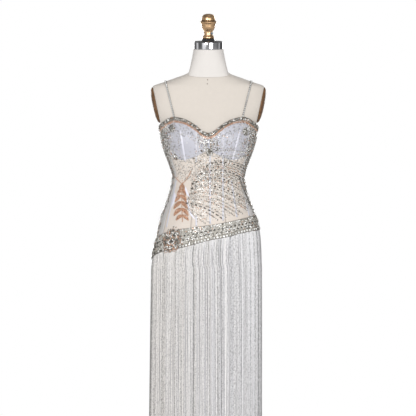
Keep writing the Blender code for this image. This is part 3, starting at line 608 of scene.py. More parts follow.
def placed_group(wire, group, **values):
    return wire.node("ShaderNodeGroup", values, node_tree=group).outputs


def mottled(wire, place, scale, shade, dark):
    light, dark = toned(shade, 1.0), toned(shade, dark)
    return placed_group(wire, mottle_effect(), Place=place, Scale=scale, Light=light, Dark=dark)


def woven_look(name, shade, thread, uneven, roughness, contrast, bump=0.35, scale=6.0, sheen=0.0):
    """Woven cloth: mottled shade, darker between the threads as painted shade, with the weave as bump."""
    look, wire = shaded(name, roughness, Sheen_Weight=sheen)
    coordinates = wire.node("ShaderNodeTexCoord").outputs
    mottle = mottled(wire, coordinates["Object"], scale, pigment(shade), contrast)
    cloth = {"Place": coordinates["UV"], "Thread": thread, "Unevenness": uneven}
    weave = placed_group(wire, weave_effect(), **cloth)
    # The gaps between the threads darkened: painted shade in the weave's hollows.
    gaps = wire.math("MULTIPLY_ADD", weave["Threads"], 0.16, 0.84)
    wire.shade("Base Color", wire.mix(1.0, mottle["Color"], gaps, blend_type="MULTIPLY"))
    wire.bump(weave["Height"], bump, 0.25 * thread)
    return look


def stone_look(name):
    """Cut stones in dark settings, near black over smoky to white, or copper, each in its own shade, partly
    the stones' own colours and partly painted glints and dark reflections.
    """
    colours = bpy.context.scene.gown_colours
    look, wire = shaded(name, 0.16, 0.15, Coat_Weight=0.35, Coat_Roughness=0.05)
    pale, light = toned(colours.crystal, 0.70), toned(colours.crystal, 1.0)
    dark, dim, middle = (toned(colours.smoky, factor) for factor in (0.10, 0.40, 1.0))
    stops = ((0.0, dark), (0.22, dim), (0.5, middle), (0.78, pale), (1.0, light))
    cut = wire.ramp(wire.attribute("shade"), *stops)
    warm_stops = ((0.0, toned(colours.copper, 0.35)), (1.0, toned(colours.copper, 1.25)))
    warm = wire.ramp(wire.attribute("shade"), *warm_stops)
    stone = wire.mix(wire.attribute("warmth"), cut, warm)
    metal = wire.mix(wire.attribute("warmth"), toned(colours.smoky, 0.50), toned(colours.copper, 0.5))
    wire.shade("Base Color", wire.mix(wire.attribute("setting"), stone, metal))
    wire.shade("Roughness", wire.math("MULTIPLY_ADD", wire.noise(wire.place(), 900.0), 0.14, 0.10))
    return look


def fringe_look(name):
    """Threaded beads: round in the bump, each with its own shade, along every strand."""
    colours = bpy.context.scene.gown_colours
    look, wire = shaded(name, 0.30, Coat_Weight=0.35, Coat_Roughness=0.12)
    beads = wire.math("DIVIDE", wire.attribute("along"), bpy.context.scene.gown_sizes.fringe_bead)
    strand = wire.attribute("strand")

    def chance(number):
        cell = wire.node("ShaderNodeCombineXYZ", {0: wire.math("FLOOR", number), 1: strand}).outputs[0]
        return wire.node("ShaderNodeTexWhiteNoise", {0: cell}).outputs[0]

    each, some = chance(beads), chance(wire.math("MULTIPLY", beads, 0.60))
    # The strand's shade attribute holds its own tone and the painted shade towards the gown's sides.
    shade = wire.math("MULTIPLY_ADD", each, 0.40, wire.attribute("shade"))
    shade = wire.math("MULTIPLY_ADD", some, 0.42, shade)
    tint = {0: wire.attribute("tint"), 1: 0.0}
    tint = wire.node("ShaderNodeMath", tint, operation="ADD", use_clamp=True).outputs[0]
    stops = [(0.0, 0.30), (0.25, 0.60), (0.50, 0.90), (0.80, 1.05)]
    warm, cool = (
        wire.ramp(shade, *[(at, toned(kind, factor)) for at, factor in stops])
        for kind in (colours.fringe, colours.fringe_cool)
    )
    wire.shade("Base Color", wire.mix(tint, warm, cool))
    wire.bump(wire.math("SINE", wire.math("MULTIPLY", wire.math("FRACT", beads), math.pi)), 0.5, 0.0005)
    return look


def metal_look(name, shade, roughness, wear, scale, metallic=1.0, stretch=1.0):
    """Metal or lacquer with soft dark tarnish and uneven polish."""
    look, wire = shaded(name, roughness, metallic)
    drawn = wire.node("ShaderNodeMapping", {0: wire.place(), 3: (1.0, 1.0, stretch)}).outputs[0]
    mottle = mottled(wire, drawn, scale, pigment(shade), wear)
    wire.shade("Base Color", mottle["Color"])
    wire.shade("Roughness", wire.math("MULTIPLY_ADD", mottle["Mask"], -0.10, roughness + 0.08))
    return look


def wood_look(name):
    """Stained wood, its grain drawn along the plate's height."""
    look, wire = shaded(name, 0.60, Coat_Weight=0.03, Coat_Roughness=0.3)
    drawn = wire.node("ShaderNodeMapping", {0: wire.place(), 3: (9.0, 9.0, 1.0)}).outputs[0]
    grain = wire.noise(drawn, 30.0, 6.0)
    shade = bpy.context.scene.gown_colours.wood
    stops = ((0.30, toned(shade, 0.35)), (0.55, toned(shade, 1.0)), (0.75, toned(shade, 1.7)))
    wire.shade("Base Color", wire.ramp(grain, *stops))
    wire.bump(grain, 0.25, 0.0004)
    return look


def finish(name):
    """The named material, made when it is first asked for."""
    look = bpy.data.materials.get(name)
    if look:
        return look
    if name in WOVEN:
        return woven_look(name, *WOVEN[name])
    if name in METALS:
        return metal_look(name, *METALS[name])
    return {"stones": stone_look, "threaded_beads": fringe_look, "stained_wood": wood_look}[name](name)


def new_tree(name, inputs):
    """A geometry tree and its wiring. It is ended by realizing and painting what it made."""
    tree = bpy.data.node_groups.new(name, "GeometryNodeTree")
    add_sockets(tree, [("Geometry", "Geometry", None)], [("Geometry", "Geometry")])
    add_sockets(tree, inputs, [])
    wire = Wiring(tree)
    return tree, wire, wire.node("NodeGroupInput").outputs


def end_tree(wire, geometry, material):
    real = wire.node("GeometryNodeRealizeInstances", {0: geometry}).outputs[0]
    painted = wire.node("GeometryNodeSetMaterial", {"Geometry": real, "Material": material})
    wire.feed(wire.node("NodeGroupOutput").inputs[0], painted.outputs[0])


def named(wire, name, kind):
    """A point's own value, in a geometry tree."""
    made = wire.node("GeometryNodeInputNamedAttribute", {"Name": name}, data_type=kind)
    return made.outputs["Attribute"]


def stones_tree():
    """One stone on each point, standing along the point's facing, at its own size and spin."""
    tree = bpy.data.node_groups.get("Sewn stones")
    if tree:
        return tree
    inputs = [("Stone", "Object", None), ("Size", "Float", 1.0), ("Seed", "Int", 7)]
    inputs.append(("Material", "Material", None))
    tree, wire, given = new_tree("Sewn stones", inputs)
    stone = wire.node("GeometryNodeObjectInfo", {"Object": given["Stone"]}).outputs["Geometry"]
    spin = wire.node("FunctionNodeRandomValue", {2: 0.0, 3: math.tau, "Seed": given["Seed"]}).outputs[1]
    own_turn = wire.node("FunctionNodeAxisAngleToRotation", {"Axis": (0, 0, 1), "Angle": spin}).outputs[0]
    facing = named(wire, "facing", "FLOAT_VECTOR")
    stands = wire.node("FunctionNodeAlignRotationToVector", {"Vector": facing}, axis="Z").outputs[0]
    turn = {"Rotation": stands, "Rotate By": own_turn}
    stands = wire.node("FunctionNodeRotateRotation", turn, rotation_space="LOCAL").outputs[0]
    size = wire.math("MULTIPLY", named(wire, "size", "FLOAT"), given["Size"])
    values = {"Points": given["Geometry"], "Instance": stone, "Rotation": stands, "Scale": size}
    sewn = wire.node("GeometryNodeInstanceOnPoints", values).outputs[0]
    end_tree(wire, sewn, given["Material"])
    return tree


def strands_tree():
    """A tube along every line of the mesh, such as a hanging strand."""
    tree = bpy.data.node_groups.get("Hanging strands")
    if tree:
        return tree
    inputs = [("Radius", "Float", 0.001), ("Sides", "Int", 5), ("Material", "Material", None)]
    tree, wire, given = new_tree("Hanging strands", inputs)
    lines = wire.node("GeometryNodeMeshToCurve", {"Mesh": given["Geometry"]}).outputs[0]
    ring = {"Resolution": given["Sides"], "Radius": given["Radius"]}
    ring = wire.node("GeometryNodeCurvePrimitiveCircle", ring, mode="RADIUS").outputs[0]
    tubes = {"Curve": lines, "Profile Curve": ring, "Fill Caps": True}
    tubes = wire.node("GeometryNodeCurveToMesh", tubes).outputs[0]
    smoothed = wire.node("GeometryNodeSetShadeSmooth", {"Geometry": tubes}).outputs[0]
    end_tree(wire, smoothed, given["Material"])
    return tree


def grown(name, points, edges, attributes, tree, look, **inputs):
    """What a geometry tree makes from these points, as a plain mesh piece."""
    carrier_mesh = bpy.data.meshes.new(f"{name}_points")
    carrier_mesh.from_pydata(points.tolist(), edges, [])
    for label, values in attributes.items():
        kind = "FLOAT_VECTOR" if values.ndim == 2 else "FLOAT"
        layer = carrier_mesh.attributes.new(label, kind, "POINT")
        layer.data.foreach_set("vector" if values.ndim == 2 else "value", values.astype(np.float32).ravel())
    carrier = bpy.data.objects.new(f"{name}_points", carrier_mesh)
    bpy.context.scene.collection.objects.link(carrier)
    modifier = carrier.modifiers.new("Growth", "NODES")
    modifier.node_group = tree
    sockets = {item.name: item.identifier for item in tree.interface.items_tree if item.in_out == "INPUT"}
    for label, value in {"Material": look, **inputs}.items():
        modifier[sockets[label]] = value
    depsgraph = bpy.context.evaluated_depsgraph_get()
    shown = carrier.evaluated_get(depsgraph)
    mesh = bpy.data.meshes.new_from_object(shown, preserve_all_data_layers=True, depsgraph=depsgraph)
    bpy.data.objects.remove(carrier)
    bpy.data.meshes.remove(carrier_mesh)
    if not mesh.polygons:
        raise RuntimeError(f"{name}: the tree made nothing")
    mesh.name = name
    return linked(name, mesh, look)


def stone_shape(kind):
    """One stone of unit radius to be repeated: a faceted one in its setting, or a small round bead."""
    name, sides = f"shape_{kind}", 6
    found = bpy.data.objects.get(name)
    if found:
        return found
    cut, bead = ((1.0, 0.0), (1.06, 0.42), (0.58, 0.86)), ((0.55, 0.05), (1.0, 0.55), (0.55, 1.1))
    rings = cut if kind == "cut" else bead
    angles = np.arange(sides) * math.tau / sides
    points = [(r * math.cos(a), r * math.sin(a), z) for r, z in rings for a in angles]
    faces = [tuple(range(sides))[::-1], tuple(range(2 * sides, 3 * sides))]
    for ring in (0, sides):
        for k in range(sides):
            a, b = ring + k, ring + (k + 1) % sides
            faces.append((a, b, b + sides, a + sides))
    mesh = bpy.data.meshes.new(name)
    mesh.from_pydata(points, [], faces)
    in_setting = [1.0, 0.0] + [1.0] * sides + [0.0] * sides if kind == "cut" else [0.0] * len(faces)
    mesh.attributes.new("setting", "FLOAT", "FACE").data.foreach_set("value", in_setting)
    return bpy.data.objects.new(name, mesh)


class Field:
    """Stones to sew on: where each one is, which way it faces, its size and its shade.

    They lie on the cloth and its creases, or if creased is false on what is laid over them.
    """

    def __init__(self, seed, creased=True):
        self.random = np.random.default_rng(seed)
        self.creased = creased
        self.stones = []

    def sew(self, heights, turns, above, size, shades=(0.4, 0.8), dark=0.0, bright=0.0, warm=0.0):
        """Adds stones at these places. shades is the plain range, and dark, bright and warm are shares."""
        heights, turns = np.atleast_1d(heights), np.atleast_1d(turns)
        count = len(heights)
        if not count:
            return
        chance = self.random.random(count)
        shade = self.random.uniform(*shades, count)
        # The dark and the bright shares are partly black and clear stones, partly painted dark reflections
        # and glints.
        shade = np.where(chance < dark, self.random.uniform(0.0, 0.16, count), shade)
        shade = np.where(chance > 1 - bright, self.random.uniform(0.9, 1.0, count), shade)
        # Stones darker towards the figure's sides: painted shade at the silhouettes.
        shade = shade * (1 - 0.25 * np.clip((np.abs(np.sin(np.radians(turns))) - 0.80) / 0.16, 0, 1))
        if self.creased:
            points = on_cloth(heights, turns, above)
        else:
            points = off_figure(DRESSED, heights, turns, above)
        facing = outward(DRESSED, heights, turns) + self.random.normal(0, 0.07, (count, 3))
        sizes = size * self.random.uniform(0.9, 1.08, count)
        warmth = (self.random.random(count) < warm).astype(float)
        self.stones.append((points, facing, sizes, shade, warmth))

    def row(self, heights, turns, pitch, above, size, **looks):
        self.sew(*evenly(heights, turns, pitch), above, size, **looks)

    def edge(self, line, first, last, shift, pitch, above, size, **looks):
        """A row along an edge of the gown, shifted up or down from it."""
        turns = np.linspace(first, last, 700)
        self.row(line(turns) + shift, turns, pitch, above, size, **looks)

    def fill(self, first, last, low, high, pitch, above, size, keep, **looks):
        """Stones all over the cloth between two edges, in staggered rows that follow them."""
        turns = np.linspace(first, last, 500)
        rows = max(2, int(float(np.max(high(turns) - low(turns))) / (0.87 * pitch)))
        for k in range(rows):
            share = (k + 0.5) / rows
            heights, places = evenly(low(turns) + (high(turns) - low(turns)) * share, turns, pitch)
            nudge = 0.25 * pitch * self.random.standard_normal((2, len(places)))
            places = places + nudge[0] / DEGREE + (0.5 * pitch / DEGREE if k % 2 else 0)
            heights = heights + nudge[1]
            inside = (places > first) & (places < last)
            inside &= keep(heights, places, self.random.random(len(places)))
            self.sew(heights[inside], places[inside], above, size, **looks)

    def sewn(self, name, kind="cut"):
        points, *values = (np.concatenate(group) for group in zip(*self.stones))
        attributes = dict(zip(("facing", "size", "shade", "warmth"), values))
        shape = stone_shape(kind)
        piece = grown(name, points, [], attributes, stones_tree(), finish("stones"), Stone=shape, Size=1.0)
        return piece


def cloth_panel(name, node, first, last, low, high, look, spacing=(0.005, 0.006)):
    """One cut panel of the gown as a thin closed wall, fitted over the form in place of its CAD part."""
    sizes = bpy.context.scene.gown_sizes
    half_gap = math.degrees(0.5 * SEAM_GAP / PANEL_RADIUS)
    columns = max(6, int((last - first) * DEGREE / spacing[0]))
    turns = np.linspace(first + half_gap, last - half_gap, columns)
    bottom, top = low(turns) + 0.5 * SEAM_GAP, high(turns) - 0.5 * SEAM_GAP
    rows = max(6, int(float(np.max(top - bottom)) / spacing[1]))
    heights = bottom + (top - bottom) * np.linspace(0, 1, rows)[:, None]
    turns = np.broadcast_to(turns, heights.shape)
    outside, inside = on_cloth(heights, turns, 0.0), on_cloth(heights, turns, -sizes.cloth_thickness)
    piece = wall(name, outside, inside, finish(look))
    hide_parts(node)


def lay_on(panel, piece):
    """Notes that a piece is sewn to a panel, for the cloth's own record."""
    LAID_ON.setdefault(panel, []).append(piece)


def laid_tape(name, heights, turns, gap, thick, look):
    """A tape that lies this far off the cloth, and its outside's points."""
    outside = off_figure(DRESSED, heights, turns, CLOTH_OUTSIDE + (gap + thick[:, None]))
    inside = off_figure(DRESSED, heights, turns, CLOTH_OUTSIDE + gap)
    return wall(name, outside, inside, finish(look)), outside


def make_form():
    """The linen-covered body and neck of the dress form, with its seams and two pins."""
    around = np.linspace(0, 360, 128, endpoint=False)
    levels = np.concatenate([[0.715, 0.7165, 0.720, 0.726], np.arange(0.734, 1.34, 0.008)])
    levels = np.concatenate([levels, np.arange(1.342, NECK_SEAM, 0.003), [NECK_SEAM]])
    rings = []
    for level in levels:
        slant = max(0.0, (level - NECK_SLANT_START) / (NECK_SEAM - NECK_SLANT_START)) ** 2
        heights = np.full(len(around), level)
        for _ in range(6):
            heights = level + slant * NECK_LEAN * figure_at(BARE, heights, around)[:, 1]
        rings.append(figure_at(BARE, heights, around))
    body = lofted("form_body", rings, finish("linen"), 50)
    add_threads(body.data)
    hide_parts("form_torso")
    make_neck(np.array(rings[-1]), around)
    make_form_seams()


def add_threads(mesh):
    """A UV map in metres for a body of rings: round it and up it."""

    def read(group, key, kind=int, width=1):
        values = np.empty(width * len(group), kind)
        group.foreach_get(key, values)
        return values

    places = read(mesh.vertices, "co", float, 3).reshape(-1, 3)
    corners = read(mesh.loops, "vertex_index")
    round_it = BODY_RADIUS * np.arctan2(places[:, 0], -places[:, 1])
    threads = np.stack([round_it, places[:, 2]], -1)[corners]
    for start, total in zip(read(mesh.polygons, "loop_start"), read(mesh.polygons, "loop_total")):
        part = threads[start : start + total, 0]
        if total == 4 and part.max() - part.min() > 0.4:
            part[part < 0] += BODY_RADIUS * math.tau
    mesh.uv_layers.new(name="Threads").data.foreach_set("uv", threads.ravel())


def make_neck(seam, around):
    middle = seam.mean(axis=0)
    bottom = middle + 0.985 * (seam - middle) + np.array([0, 0, 0.0006])
    turns = np.radians(around)
    top = np.array([CAP_PLACE @ Vector((0.05 * math.sin(t), -0.05 * math.cos(t), 0)) for t in turns])
    rings = []
    for share in (0, 0.02, 0.15, 0.35, 0.55, 0.75, 0.90, 0.938, 0.945, 0.965, 0.99, 1.0):
        ring = bottom + (top - bottom) * share
        fold = 0.0009 * math.exp(-(((share - 0.968) / 0.016) ** 2))
        from_axis = ring - ring.mean(axis=0)
        rings.append(ring + fold * from_axis / np.linalg.norm(from_axis, axis=1, keepdims=True))
    block = lofted("form_neck_block", rings, finish("neck_cover"), 60)
    add_threads(block.data)
    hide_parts("form_neck")


def make_form_seams():
    """Narrow stitched welts down the form, and the two pins below the neck."""
    half_turn = math.degrees(0.0011 / 0.13)
    for turn, low, high in FORM_SEAMS:
        heights = np.linspace(low, high, 40)[:, None]
        turns = turn + np.array([-1.0, -0.4, 0.4, 1.0])[None, :] * half_turn
        outside = off_figure(BARE, heights, turns, np.array([0.00002, 0.00028, 0.00028, 0.00002]))
        inside = off_figure(BARE, heights, turns, -0.0008)
        name = f"form_seam_{'left' if turn > 0 else 'right'}_{abs(turn)}"
        wall(name, outside, inside, finish("linen"))
    for number, height in enumerate((1.3685, 1.3819)):
        here = Vector(off_figure(BARE, height, -1.2, -0.0002))
        facing = Vector(outward(BARE, height, -1.2))
        place = Matrix.Translation(here) @ facing.to_track_quat("Z", "Y").to_matrix().to_4x4()
        pin = turned(f"form_pin_{number + 1}", PIN_PROFILE, finish("groove_brass"), place, 0.0002, 12)


def make_hardware():
    """The cap on the neck, the finial with its screw, the arm plates and the stand."""
    cap, stand = CAP_PLACE, Matrix()
    parts = [
        ("cap_band", "neck_band", NECK_BAND_PROFILE, "chrome", cap, 0.0005, 96, "chrome_band"),
        ("cap_plate", "neck_plate", NECK_PLATE_PROFILE, "black_lacquer", cap, 0.0012, 72, "black_enamel"),
        ("brass_finial", "finial", FINIAL_PROFILE, "worn_brass", FINIAL_PLACE, 0.0022, 72, "aged_brass"),
        ("thumb_screw", "set_screw", SCREW_PROFILE, "bright_steel", SCREW_PLACE, 0.0004, 24, "screw_steel"),
        ("stand_foot", "base_plate", BASE_PROFILE, "brushed_steel", stand, 0.0025, 96, "stand_steel"),
        ("stand_pole", "pole", POLE_PROFILE, "brushed_steel", stand, 0.0020, 40, "stand_steel"),
    ]
    for name, node, profile, look, place, ease, sides, slot in parts:
        piece = turned(name, profile, finish(look), place, ease, sides)
        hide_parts(node)
    place = FINIAL_PLACE @ Matrix.Translation((0, 0, GROOVE_HEIGHT))
    turned("finial_groove", GROOVE_PROFILE, finish("groove_brass"), place, 0.0003)
    aside = ARM_FACE_ASIDE + ARM_FACE_LEAN * (ARM_PLATE_HEIGHT - ARM_FACE_LOW)
    lean = math.pi / 2 + math.atan(ARM_FACE_LEAN)
    for side, word in ((1, "left"), (-1, "right")):
        place = Matrix.Translation((side * aside, 0.006, ARM_PLATE_HEIGHT))
        place = place @ Matrix.Rotation(side * lean, 4, "Y")
        plate = turned(f"arm_disc_{word}", ARM_PLATE_PROFILE, finish("stained_wood"), place, 0.003, 72, 0.66)
        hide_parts(f"arm_plate_{word}")


def make_bodice():
    """Cups, midriff, sides and back as cut panels, and the strip over the back closing."""
    for word, side in (("left", 1), ("right", -1)):
        panels = [
            ("cup", 0, CUP_SIDE_SEAM, underbust, neckline, "cup_tulle", "nude_net"),
            ("side_front", PRINCESS_SEAM, CUP_SIDE_SEAM, waist_seam, underbust, "nude_tulle", "nude_net"),
            ("side", CUP_SIDE_SEAM, BACK_SIDE_SEAM, waist_seam, neckline, "side_tulle", "beaded_net"),
            ("back", BACK_SIDE_SEAM, 180, waist_seam, neckline, "nude_tulle", "nude_net"),
        ]
        for kind, near, far, low, high, look, slot in panels:
            first, last = sorted((side * near, side * far))
            cloth_panel(f"{kind}_cloth_{word}", f"{kind}_{word}", first, last, low, high, look)
    half = PRINCESS_SEAM
    cloth_panel("front_cloth", "front_centre", -half, half, waist_seam, underbust, "nude_tulle")
    make_placket()


def make_placket():
    """The strip that covers the centre back closing, folded over at both sides."""
    turns = np.linspace(180 - PLACKET_HALF_TURN, 180 + PLACKET_HALF_TURN, 9)
    low, high = waist_seam(turns), neckline(turns)
    heights = low + (high - low) * np.linspace(0.105, 0.955, 60)[:, None]
    turns = np.broadcast_to(turns, heights.shape)
    fold = 0.0012 - 0.0004 * (np.abs(turns - 180) / PLACKET_HALF_TURN) ** 4
    outside, inside = on_cloth(heights, turns, SEAM_GAP + fold), on_cloth(heights, turns, SEAM_GAP)
    strip = wall("placket_cloth", outside, inside, finish("nude_tulle"))
    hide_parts("back_placket")


def lay_bone(name, heights, turns, thick, look):
    """A narrow rounded strip of satin along a near-upright line on the cloth."""
    middles = (figure_at(DRESSED, heights, turns + half) for half in (0.5, -0.5))
    degree = np.linalg.norm(np.subtract(*middles), axis=-1)
    across = np.array([-1.0, -0.75, -0.3, 0.3, 0.75, 1.0])
    rise = np.array([0.15, 0.8, 1.0, 1.0, 0.8, 0.15]) * thick
    places = turns[:, None] + across[None, :] * (0.5 * BONE_WIDE / degree)[:, None]
    levels = np.broadcast_to(heights[:, None], places.shape)
    outside, inside = on_cloth(levels, places, rise), on_cloth(levels, places, -0.0002)
    wall(name, outside, inside, finish(look))


def make_bones():
    """Satin-covered bones down the front and the back."""
    for number, ((low_aside, low), (high_aside, high), look) in enumerate(FRONT_BONES):
        heights = np.linspace(low, high, max(8, int((high - low) / 0.008)))
        asides = np.interp(heights, (low, high), (low_aside, high_aside))
        turns = np.array([turn_at(aside, height) for aside, height in zip(asides, heights)])
        lay_bone(f"front_bone_{number + 1}", heights, turns, 0.0010 if look == "bone_satin" else 0.0006, look)
    heights = np.linspace(*BACK_BONE_ENDS, 34)
    for number, (top_aside, low_aside) in enumerate(BACK_BONES):
        asides = np.interp(heights, BACK_BONE_ENDS, (low_aside, top_aside))
        turns = 180 - np.degrees(np.arcsin(asides / DRESSED(heights)[0]))
        lay_bone(f"back_bone_{number + 1}", heights, turns, 0.0008, "veiled_bone")


def make_skirt():
    """The plain sheath under the fringe, front and back."""

    def hem(turns):
        return np.full(np.shape(turns), HEM)

    top = moved(waist_seam, -0.0008)
    for word, middle in (("front", 0), ("back", 180)):
        name, node, first, last = f"skirt_cloth_{word}", f"skirt_{word}", middle - 90, middle + 90
        cloth_panel(name, node, first, last, hem, top, "skirt_silk", (0.0065, 0.014))


def sew_band(seed, first, last):
    """The hip band's stones: rows along both edges, dark ones in the middle and smaller ones between."""
    field = Field(seed, creased=False)
    lift = CLOTH_OUTSIDE + ABOVE_TAPE
    # Edge, how far above it, pitch, size, plain shades, and the shares of dark and of bright stones.
    rows = [
        (band_lower, 0.0050, 0.0104, 0.0036, (0.60, 0.95), 0.08, 0.45),
        (band_lower, 0.0004, 0.0034, 0.0012, (0.10, 0.45), 0.50, 0.05),
        (band_lower, 0.0104, 0.0040, 0.0015, (0.20, 0.60), 0.40, 0.08),
        (band_upper, -0.0036, 0.0060, 0.0025, (0.45, 0.90), 0.14, 0.32),
        (band_upper, -0.0004, 0.0036, 0.0012, (0.20, 0.60), 0.40, 0.05),
    ]
    for line, shift, pitch, size, shades, dark, bright in rows:
        looks = {"shades": shades, "dark": dark, "bright": bright, "warm": 0.05 * (size < 0.003)}
        field.edge(line, first, last - 2.2, shift, pitch, lift, size, **looks)
    field.edge(band_lower, first + 2.2, last, 0.0050, 0.0104, lift, 0.0018, shades=(0.0, 0.25), dark=0.6)
    for share, slip in ((0.40, 0.0), (0.40, 0.0030), (0.62, 0.0060), (0.62, 0.0090)):

        def inner(turns, share=share):
            return band_lower(turns) + share * (band_upper(turns) - band_lower(turns))

        start, end = first + slip / DEGREE, last - 6 + slip / DEGREE
        field.edge(inner, start, end, 0.0, 0.0138, lift, 0.0025, shades=(0.0, 0.15), dark=0.8)

    def between_rows(heights, places, chance):
        share = (heights - band_lower(places)) / (band_upper(places) - band_lower(places))
        beside_dark = (np.abs(share - 0.40) < 0.045) | (np.abs(share - 0.62) < 0.045)
        return (share > 0.24) & (share < 0.86) & (~beside_dark | (chance < 0.35))

    looks = {"shades": (0.46, 0.80), "dark": 0.10, "bright": 0.14, "warm": 0.05}
    field.fill(first, last, band_lower, band_upper, 0.0047, lift, 0.0021, between_rows, **looks)
    return field


def make_hip_band():
    """The slanting band: a tape in two halves, closely set with stones, brighter along both edges."""
    shares = np.array([0.0, 0.06, 0.2, 0.4, 0.6, 0.8, 0.94, 1.0])[:, None]
    thick = TAPE_THICK * np.array([0.5, 1, 1, 1, 1, 1, 1, 0.5])
    for word, middle, seed in (("front", 0, 11), ("back", 180, 12)):
        turns = np.linspace(middle - 89.9, middle + 89.9, 150)
        heights = band_lower(turns) + (band_upper(turns) - band_lower(turns)) * shares
        tape, outside = laid_tape(f"band_tape_{word}", heights, turns, BAND_GAP, thick, "band_tape")
        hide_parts(f"hip_band_{word}")
        field = sew_band(seed, middle - 89.5, middle + 89.5)
        lay_on(tape.name, field.sewn(f"band_stones_{word}"))


def curtain(heights, turns):
    """Points on the plumb part of the fringe, and the way it faces there."""
    sides = zip(*[row[1:] for row in CURTAIN])
    left, right, front, back = (np.interp(heights, (FRINGE_END, PLUMB_HEIGHT), pair) for pair in sides)
    side, fore = np.sin(np.radians(turns)), np.cos(np.radians(turns))
    aside, depth = np.where(side > 0, left, right), np.where(fore > 0, front, back)
    out = np.stack([side / aside, -fore / depth, 0 * side], -1)
    out /= np.linalg.norm(out, axis=-1, keepdims=True)
    return np.stack([aside * side, -depth * fore, heights + 0 * side], -1), out


def strand_turns(random, count):
    """The turns at which the strands hang, even round the gown but for a few small gaps."""
    fine = np.linspace(0, 360, 1441)
    girth = lengths_along(figure_at(DRESSED, PLUMB_HEIGHT, fine))
    even = np.cumsum(1 + 0.9 * (random.random(count) < 0.08))
    even = (even - even[0]) / even[-1]
    return np.interp((even * girth[-1] + random.normal(0, 0.0002, count)) % girth[-1], girth, fine)


def strand_tones(random, turns):
    """Every strand's shade and tint: bunches of like ones, a few dark or light, and darker at both sides as
    painted shade.
    """
    count = len(turns)
    bunches = np.repeat(np.arange(count), random.integers(1, 5, count))[:count]
    shades = 0.12 + 0.10 * random.standard_normal(count)[bunches] + random.normal(0, 0.07, count)
    lots = random.random(count)
    shades = np.where(lots < 0.05, -0.30, np.where(lots > 0.96, 0.50, shades))
    tints = 0.5 + 0.5 * np.sin(np.radians(turns)) + random.normal(0, 0.15, count)
    # Strands darker towards both sides of the gown: painted shade at the fringe's silhouettes.
    shades -= 0.36 * np.clip((np.abs(np.sin(np.radians(turns))) - 0.86) / 0.13, 0, 1)
    shades -= 0.30 * np.exp(-(((turns - 69) / 1.2) ** 2))
    return shades, tints


def strand_lines(random, turns):
    """Every strand's points, from under the band over the hips and then plumb to the floor."""
    roots = band_lower(turns)
    seam = off_figure(DRESSED, roots - STRAND_SEAM_DOWN, turns, STRIP_LIFT + STRAND_CLEAR)
    top = off_figure(DRESSED, roots - 0.0008, turns, STRIP_LIFT + STRAND_CLEAR)
    plumb, _ = curtain(np.full(len(turns), PLUMB_HEIGHT), turns)
    lines = [top, seam]
    for share in (0.16, 0.33, 0.5, 0.67, 0.84):
        heights = roots - STRAND_SEAM_DOWN + (PLUMB_HEIGHT - roots + STRAND_SEAM_DOWN) * share
        hung = seam + (plumb - seam) * share
        clear = off_figure(DRESSED, heights, turns, STRIP_LIFT + STRIP_THICK + STRAND_CLEAR)
        facing = clear - figure_at(DRESSED, heights, turns)
        facing /= np.linalg.norm(facing, axis=1, keepdims=True)
        rise = np.maximum(0, ((hung - clear) * facing).sum(axis=1))
        lines.append(clear + rise[:, None] * facing)
    ends = FRINGE_END + random.uniform(0.0002, 0.0060, len(turns))
    sway = random.normal(0, 1, (3, len(turns)))
    for share in np.cumsum([0] + 15 * [1 / 15]):
        point, out = curtain(PLUMB_HEIGHT + (ends - PLUMB_HEIGHT) * share, turns)
        sideways = np.stack([-out[:, 1], out[:, 0], 0 * out[:, 0]], -1)
        waver = 0.0005 * sway[0] * np.sin(share * 3.1) + 0.0004 * sway[1] * np.sin(share * 7.3 + sway[2])
        depth = 0.00025 * sway[2] * np.sin(share * 5.0)
        lines.append(point + waver[:, None] * sideways + depth[:, None] * out)
    return np.stack(lines, 1)


def make_fringe_strip(name, first):
    """The narrow strip under the hip band from which half of the strands hang."""
    turns = np.linspace(first + 0.1, first + 179.9, 160)
    heights = band_lower(turns) - np.array([0.0050, 0.0040, 0.0012, 0.0003])[:, None]
    outside = off_figure(DRESSED, heights, turns, STRIP_LIFT + STRIP_THICK)
    strip = wall(name, outside, off_figure(DRESSED, heights, turns, STRIP_LIFT), finish("skirt_silk"))
    return strip


def make_fringe():
    """The bead fringe: hundreds of strands from a narrow strip, over the hips and then plumb to the floor."""
    sizes = bpy.context.scene.gown_sizes
    random = np.random.default_rng(5)
    starts = strand_turns(random, sizes.strands)
    shades, tints = strand_tones(random, starts)
    in_front = np.cos(np.radians(starts)) > 0
    for word, keep, first in (("front", in_front, -90), ("back", ~in_front, 90)):
        points = strand_lines(random, starts[keep])
        count, levels = points.shape[:2]
        steps = np.linalg.norm(np.diff(points, axis=1), axis=2)
        along = np.concatenate([np.zeros((count, 1)), np.cumsum(steps, axis=1)], axis=1)
        index = np.arange(count * levels).reshape(count, levels)
        edges = np.stack([index[:, :-1], index[:, 1:]], -1).reshape(-1, 2).tolist()
        tones = {"shade": shades[keep], "tint": tints[keep], "strand": np.arange(count, dtype=float)}
        attributes = {"along": along.ravel(), **{key: np.repeat(tones[key], levels) for key in tones}}
        look, form = finish("threaded_beads"), {"Radius": sizes.strand_radius, "Sides": 5}
        name, points = f"fringe_{word}", points.reshape(-1, 3)
        piece = grown(name, points, edges, attributes, strands_tree(), look, **form)
        lay_on(f"skirt_cloth_{word}", piece)
        if word == "front":
            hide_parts("bead_fringe")
        lay_on(f"skirt_cloth_{word}", make_fringe_strip(f"fringe_strip_{word}", first))


